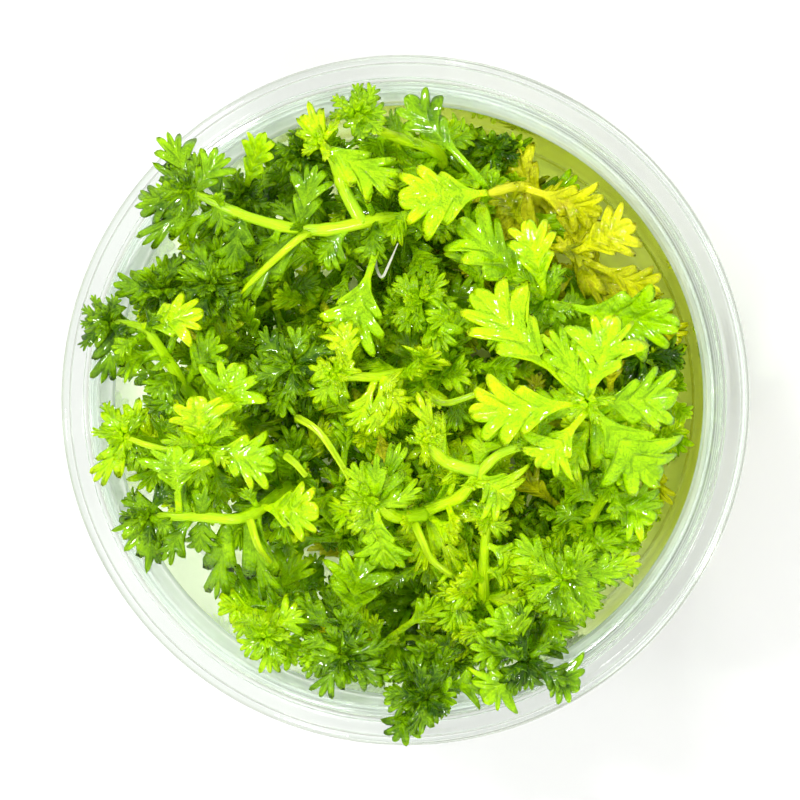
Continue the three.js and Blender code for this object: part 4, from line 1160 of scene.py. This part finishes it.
def round_off(corners):
    """An outline from its corners, each with the radius that it is rounded by."""
    points = []
    for k, (r, z, radius) in enumerate(corners):
        if radius and 0 < k < len(corners) - 1:
            points += rounded(corners[k - 1][:2], (r, z), corners[k + 1][:2], radius)
        else:
            points.append((r, z))
    return points


def wall_at(z, thickness=0.0):
    """The cup's radius at a height, inside or with a thickness outside it."""
    return float(inner_radius(z)) + thickness


def cup_profile():
    """From the middle of the foot up the outside of the wall, round the flange and down the inside."""
    under = CUP_HEIGHT - FLANGE
    lip = RIM_RADIUS - LIP_WIDTH
    return round_off([
        (AXIS_ROOM, FOOT_RECESS, 0),
        (FOOT_INNER - FOOT_RECESS, FOOT_RECESS, 0.3),
        (FOOT_INNER, 0, 0.25),
        (FOOT_OUTER, 0, 0.4),
        (wall_at(1.6, WALL), 1.6, 0.5),
        (wall_at(NECK_FOOT - 1.5, WALL), NECK_FOOT - 1.5, 0.5),
        (NECK_RADIUS + WALL, NECK_FOOT - 0.5, 0.4),
        (NECK_RADIUS + WALL, under, 0.5),
        *((r, under - depth, rounding) for r, depth, rounding in UNDER_FLANGE),
        (lip, under, 0.25),
        (lip, under - LIP_DROP, 0.2),
        (RIM_RADIUS, under - LIP_DROP, 0.2),
        (RIM_RADIUS, CUP_HEIGHT - 0.5, 0.3),
        (RIM_RADIUS - 0.5, CUP_HEIGHT, 0.25),
        *((r, CUP_HEIGHT - depth, rounding) for r, depth, rounding in ON_FLANGE),
        (wall_at(CUP_HEIGHT) + 0.1, CUP_HEIGHT, 0.4),
        (wall_at(NECK_FOOT + 0.2), NECK_FOOT + 0.2, 0.2),
        (wall_at(NECK_FOOT - 0.6), NECK_FOOT - 0.6, 0.3),
        (wall_at(FLOOR + 1.6), FLOOR + 1.6, 0.5),
        (wall_at(FLOOR) - 1.6, FLOOR, 0.8),
        (AXIS_ROOM, FLOOR, 0),
    ])


def gel_profile():
    """From the middle of the bottom up the wall, down the meniscus and in over the top."""
    bottom = FLOOR + GAP
    corner = (wall_at(bottom, -GAP) - 0.8, bottom)
    foot = rounded((0, bottom), corner, (wall_at(6, -GAP), 6), 1.4)
    meniscus = []
    for share in (1, 0.8, 0.55, 0.3, 0):
        z = GEL_TOP + MENISCUS * share * share
        meniscus.append((wall_at(z, -GAP) - MENISCUS_REACH * (1 - share), z))
    flat = [(r, GEL_TOP) for r in (*np.linspace(27, 3, 13), AXIS_ROOM)]
    return [(AXIS_ROOM, bottom), *foot, *meniscus, *flat]


# The studio. Each lamp has a name, a place, a width and a power.
FLOOR_GREYS = (0.51, 0.53)
FLOOR_SIZE = 1.5
LAMPS = [
    ("key", (-0.2, 0.2, 0.65), 0.08, 3.2),
    ("fill", (0.35, -0.2, 0.5), 0.07, 1.4),
    ("front", (-0.12, -0.28, 0.5), 0.07, 1.4),
    ("glint_right", (0.3, 0.16, 0.45), 0.03, 0.5),
    ("glint_left", (-0.32, -0.02, 0.42), 0.03, 0.5),
    ("glint_back", (0.02, 0.34, 0.42), 0.03, 0.5),
]
AIM = Vector((0, 0, 0.04))
SKY_STRENGTH = 0.9


def backdrop():
    make = Nodes("studio_floor")
    colour = make.ramp(make.noise(make.place, 30, 2), [(k, (v, v, v)) for k, v in enumerate(FLOOR_GREYS)])
    make.finish(make.set(make.add("BsdfPrincipled"), Base_Color=colour, Roughness=0.8))
    mesh = bpy.data.meshes.new("studio_floor")
    corners = [(x * FLOOR_SIZE, y * FLOOR_SIZE, 0) for x, y in ((-1, -1), (1, -1), (1, 1), (-1, 1))]
    mesh.from_pydata(corners, [], [(0, 1, 2, 3)])
    mesh.materials.append(make.material)
    floor = add_object("studio_floor", mesh)


def lamp(name, place, size, power):
    light = bpy.data.lights.new(name, "AREA")
    light.shape = "DISK"
    light.size = size
    light.energy = power
    holder = add_object(name, light)
    holder.location = place
    holder.rotation_euler = (AIM - Vector(place)).to_track_quat("-Z", "Y").to_euler()


def sky():
    world = bpy.data.worlds.new("studio")
    world.use_nodes = True
    light = world.node_tree.nodes["Background"].inputs
    light["Color"].default_value = (1, 1, 1, 1)
    light["Strength"].default_value = SKY_STRENGTH
    bpy.context.scene.world = world
    bpy.context.scene.view_settings.view_transform = "Standard"


def camera():
    data = bpy.data.cameras.new("camera")
    data.sensor_width = SENSOR
    data.lens = FOCAL / PICTURE_WIDTH * SENSOR
    data.shift_x = (PICTURE_WIDTH / 2 - CENTRE_X) / PICTURE_WIDTH
    data.clip_start = 0.01
    holder = add_object("camera", data)
    holder.location = Vector(EYE) * MM
    holder.rotation_euler = (0, LEAN, 0)
    bpy.context.scene.camera = holder


# The scene

leaf_looks = {tint: foliage("leaf_" + tint, GREENS, 0.0) for tint in ("dark", "green", "bright")}
leaf_looks["yellow"] = foliage("leaf_wilting", YELLOWS, 0.5)
green_stem = stalk_material("stem_green", GREENS)
yellow_stem = stalk_material("stem_wilting", YELLOWS)
root_white = stalk_material("root", [(0, (0.7, 0.72, 0.5)), (1, (0.92, 0.92, 0.8))])
# Painted shade and reflection of the plants tint the cup's wall below the neck, olive towards +X and +Y.
clear_cup = see_through(
    "clear_cup", tint=(0.88, 0.89, 0.885), ior=1.49, roughness=0.03, ripple=60, ripple_depth=0.00002,
    shade_and_stain=((0.84, 0.92, 0.74), (0.40, 0.46, 0.01)), clouds=0.34, body=(0.82, 0.88, 0.83), density=130,
    clear=(0.93, 0.94, 0.935), led_from=3,
)
# Painted shade, and partly a stain, tint the gel olive towards +X and +Y.
clear_gel = see_through(
    "clear_gel", tint=(0.95, 0.96, 0.78), ior=1.34, roughness=0.1, ripple=150, ripple_depth=0.0003,
    shade_and_stain=((0.95, 0.96, 0.78), (0.62, 0.66, 0.16)), clouds=0.1, body=(0.86, 0.9, 0.60), density=20,
    clear=(0.92, 0.94, 0.8), led_from=5, veil=0.4,
)

neighbours = low_shoots()
for number, shoot in SHOOTS.items():
    name, tint = f"stem_{number:02d}", shoot["tint"]
    looks = [leaf_looks[tint], yellow_stem if tint == "yellow" else green_stem, leaf_looks["yellow"]]
    mesh = build_shoot(number, neighbours[number]).mesh(name + "_grown", looks)
    place_piece(name + "_grown", mesh, [name])

for number, (tint, stem, place, tip, width, stalk, arch) in LEAVES.items():
    skin, name = Skin(), f"leaf_{number:02d}"
    tone, roll = TONES[tint] + LARGE_LEAF_TONE, stray(number - 1, MOST_ROLL)
    leaf = leaf_from(on_stem(stem, place), spot(*tip), width, tone, roll, stalk, arch, "broad")
    add_leaf(skin, leaf, 60 * number - 53, LEAF)
    place_piece(name + "_grown", skin.mesh(name + "_grown", [leaf_looks[tint]]), [name])

place_piece("roots", build_roots().mesh("roots", [root_white]), [])
lathe(cup_profile(), "cup_moulded", clear_cup, "cup")
lathe(gel_profile(), "gel_poured", clear_gel, "gel", swell=GEL_SWELL)

backdrop()
for row in LAMPS:
    lamp(*row)
sky()
camera()
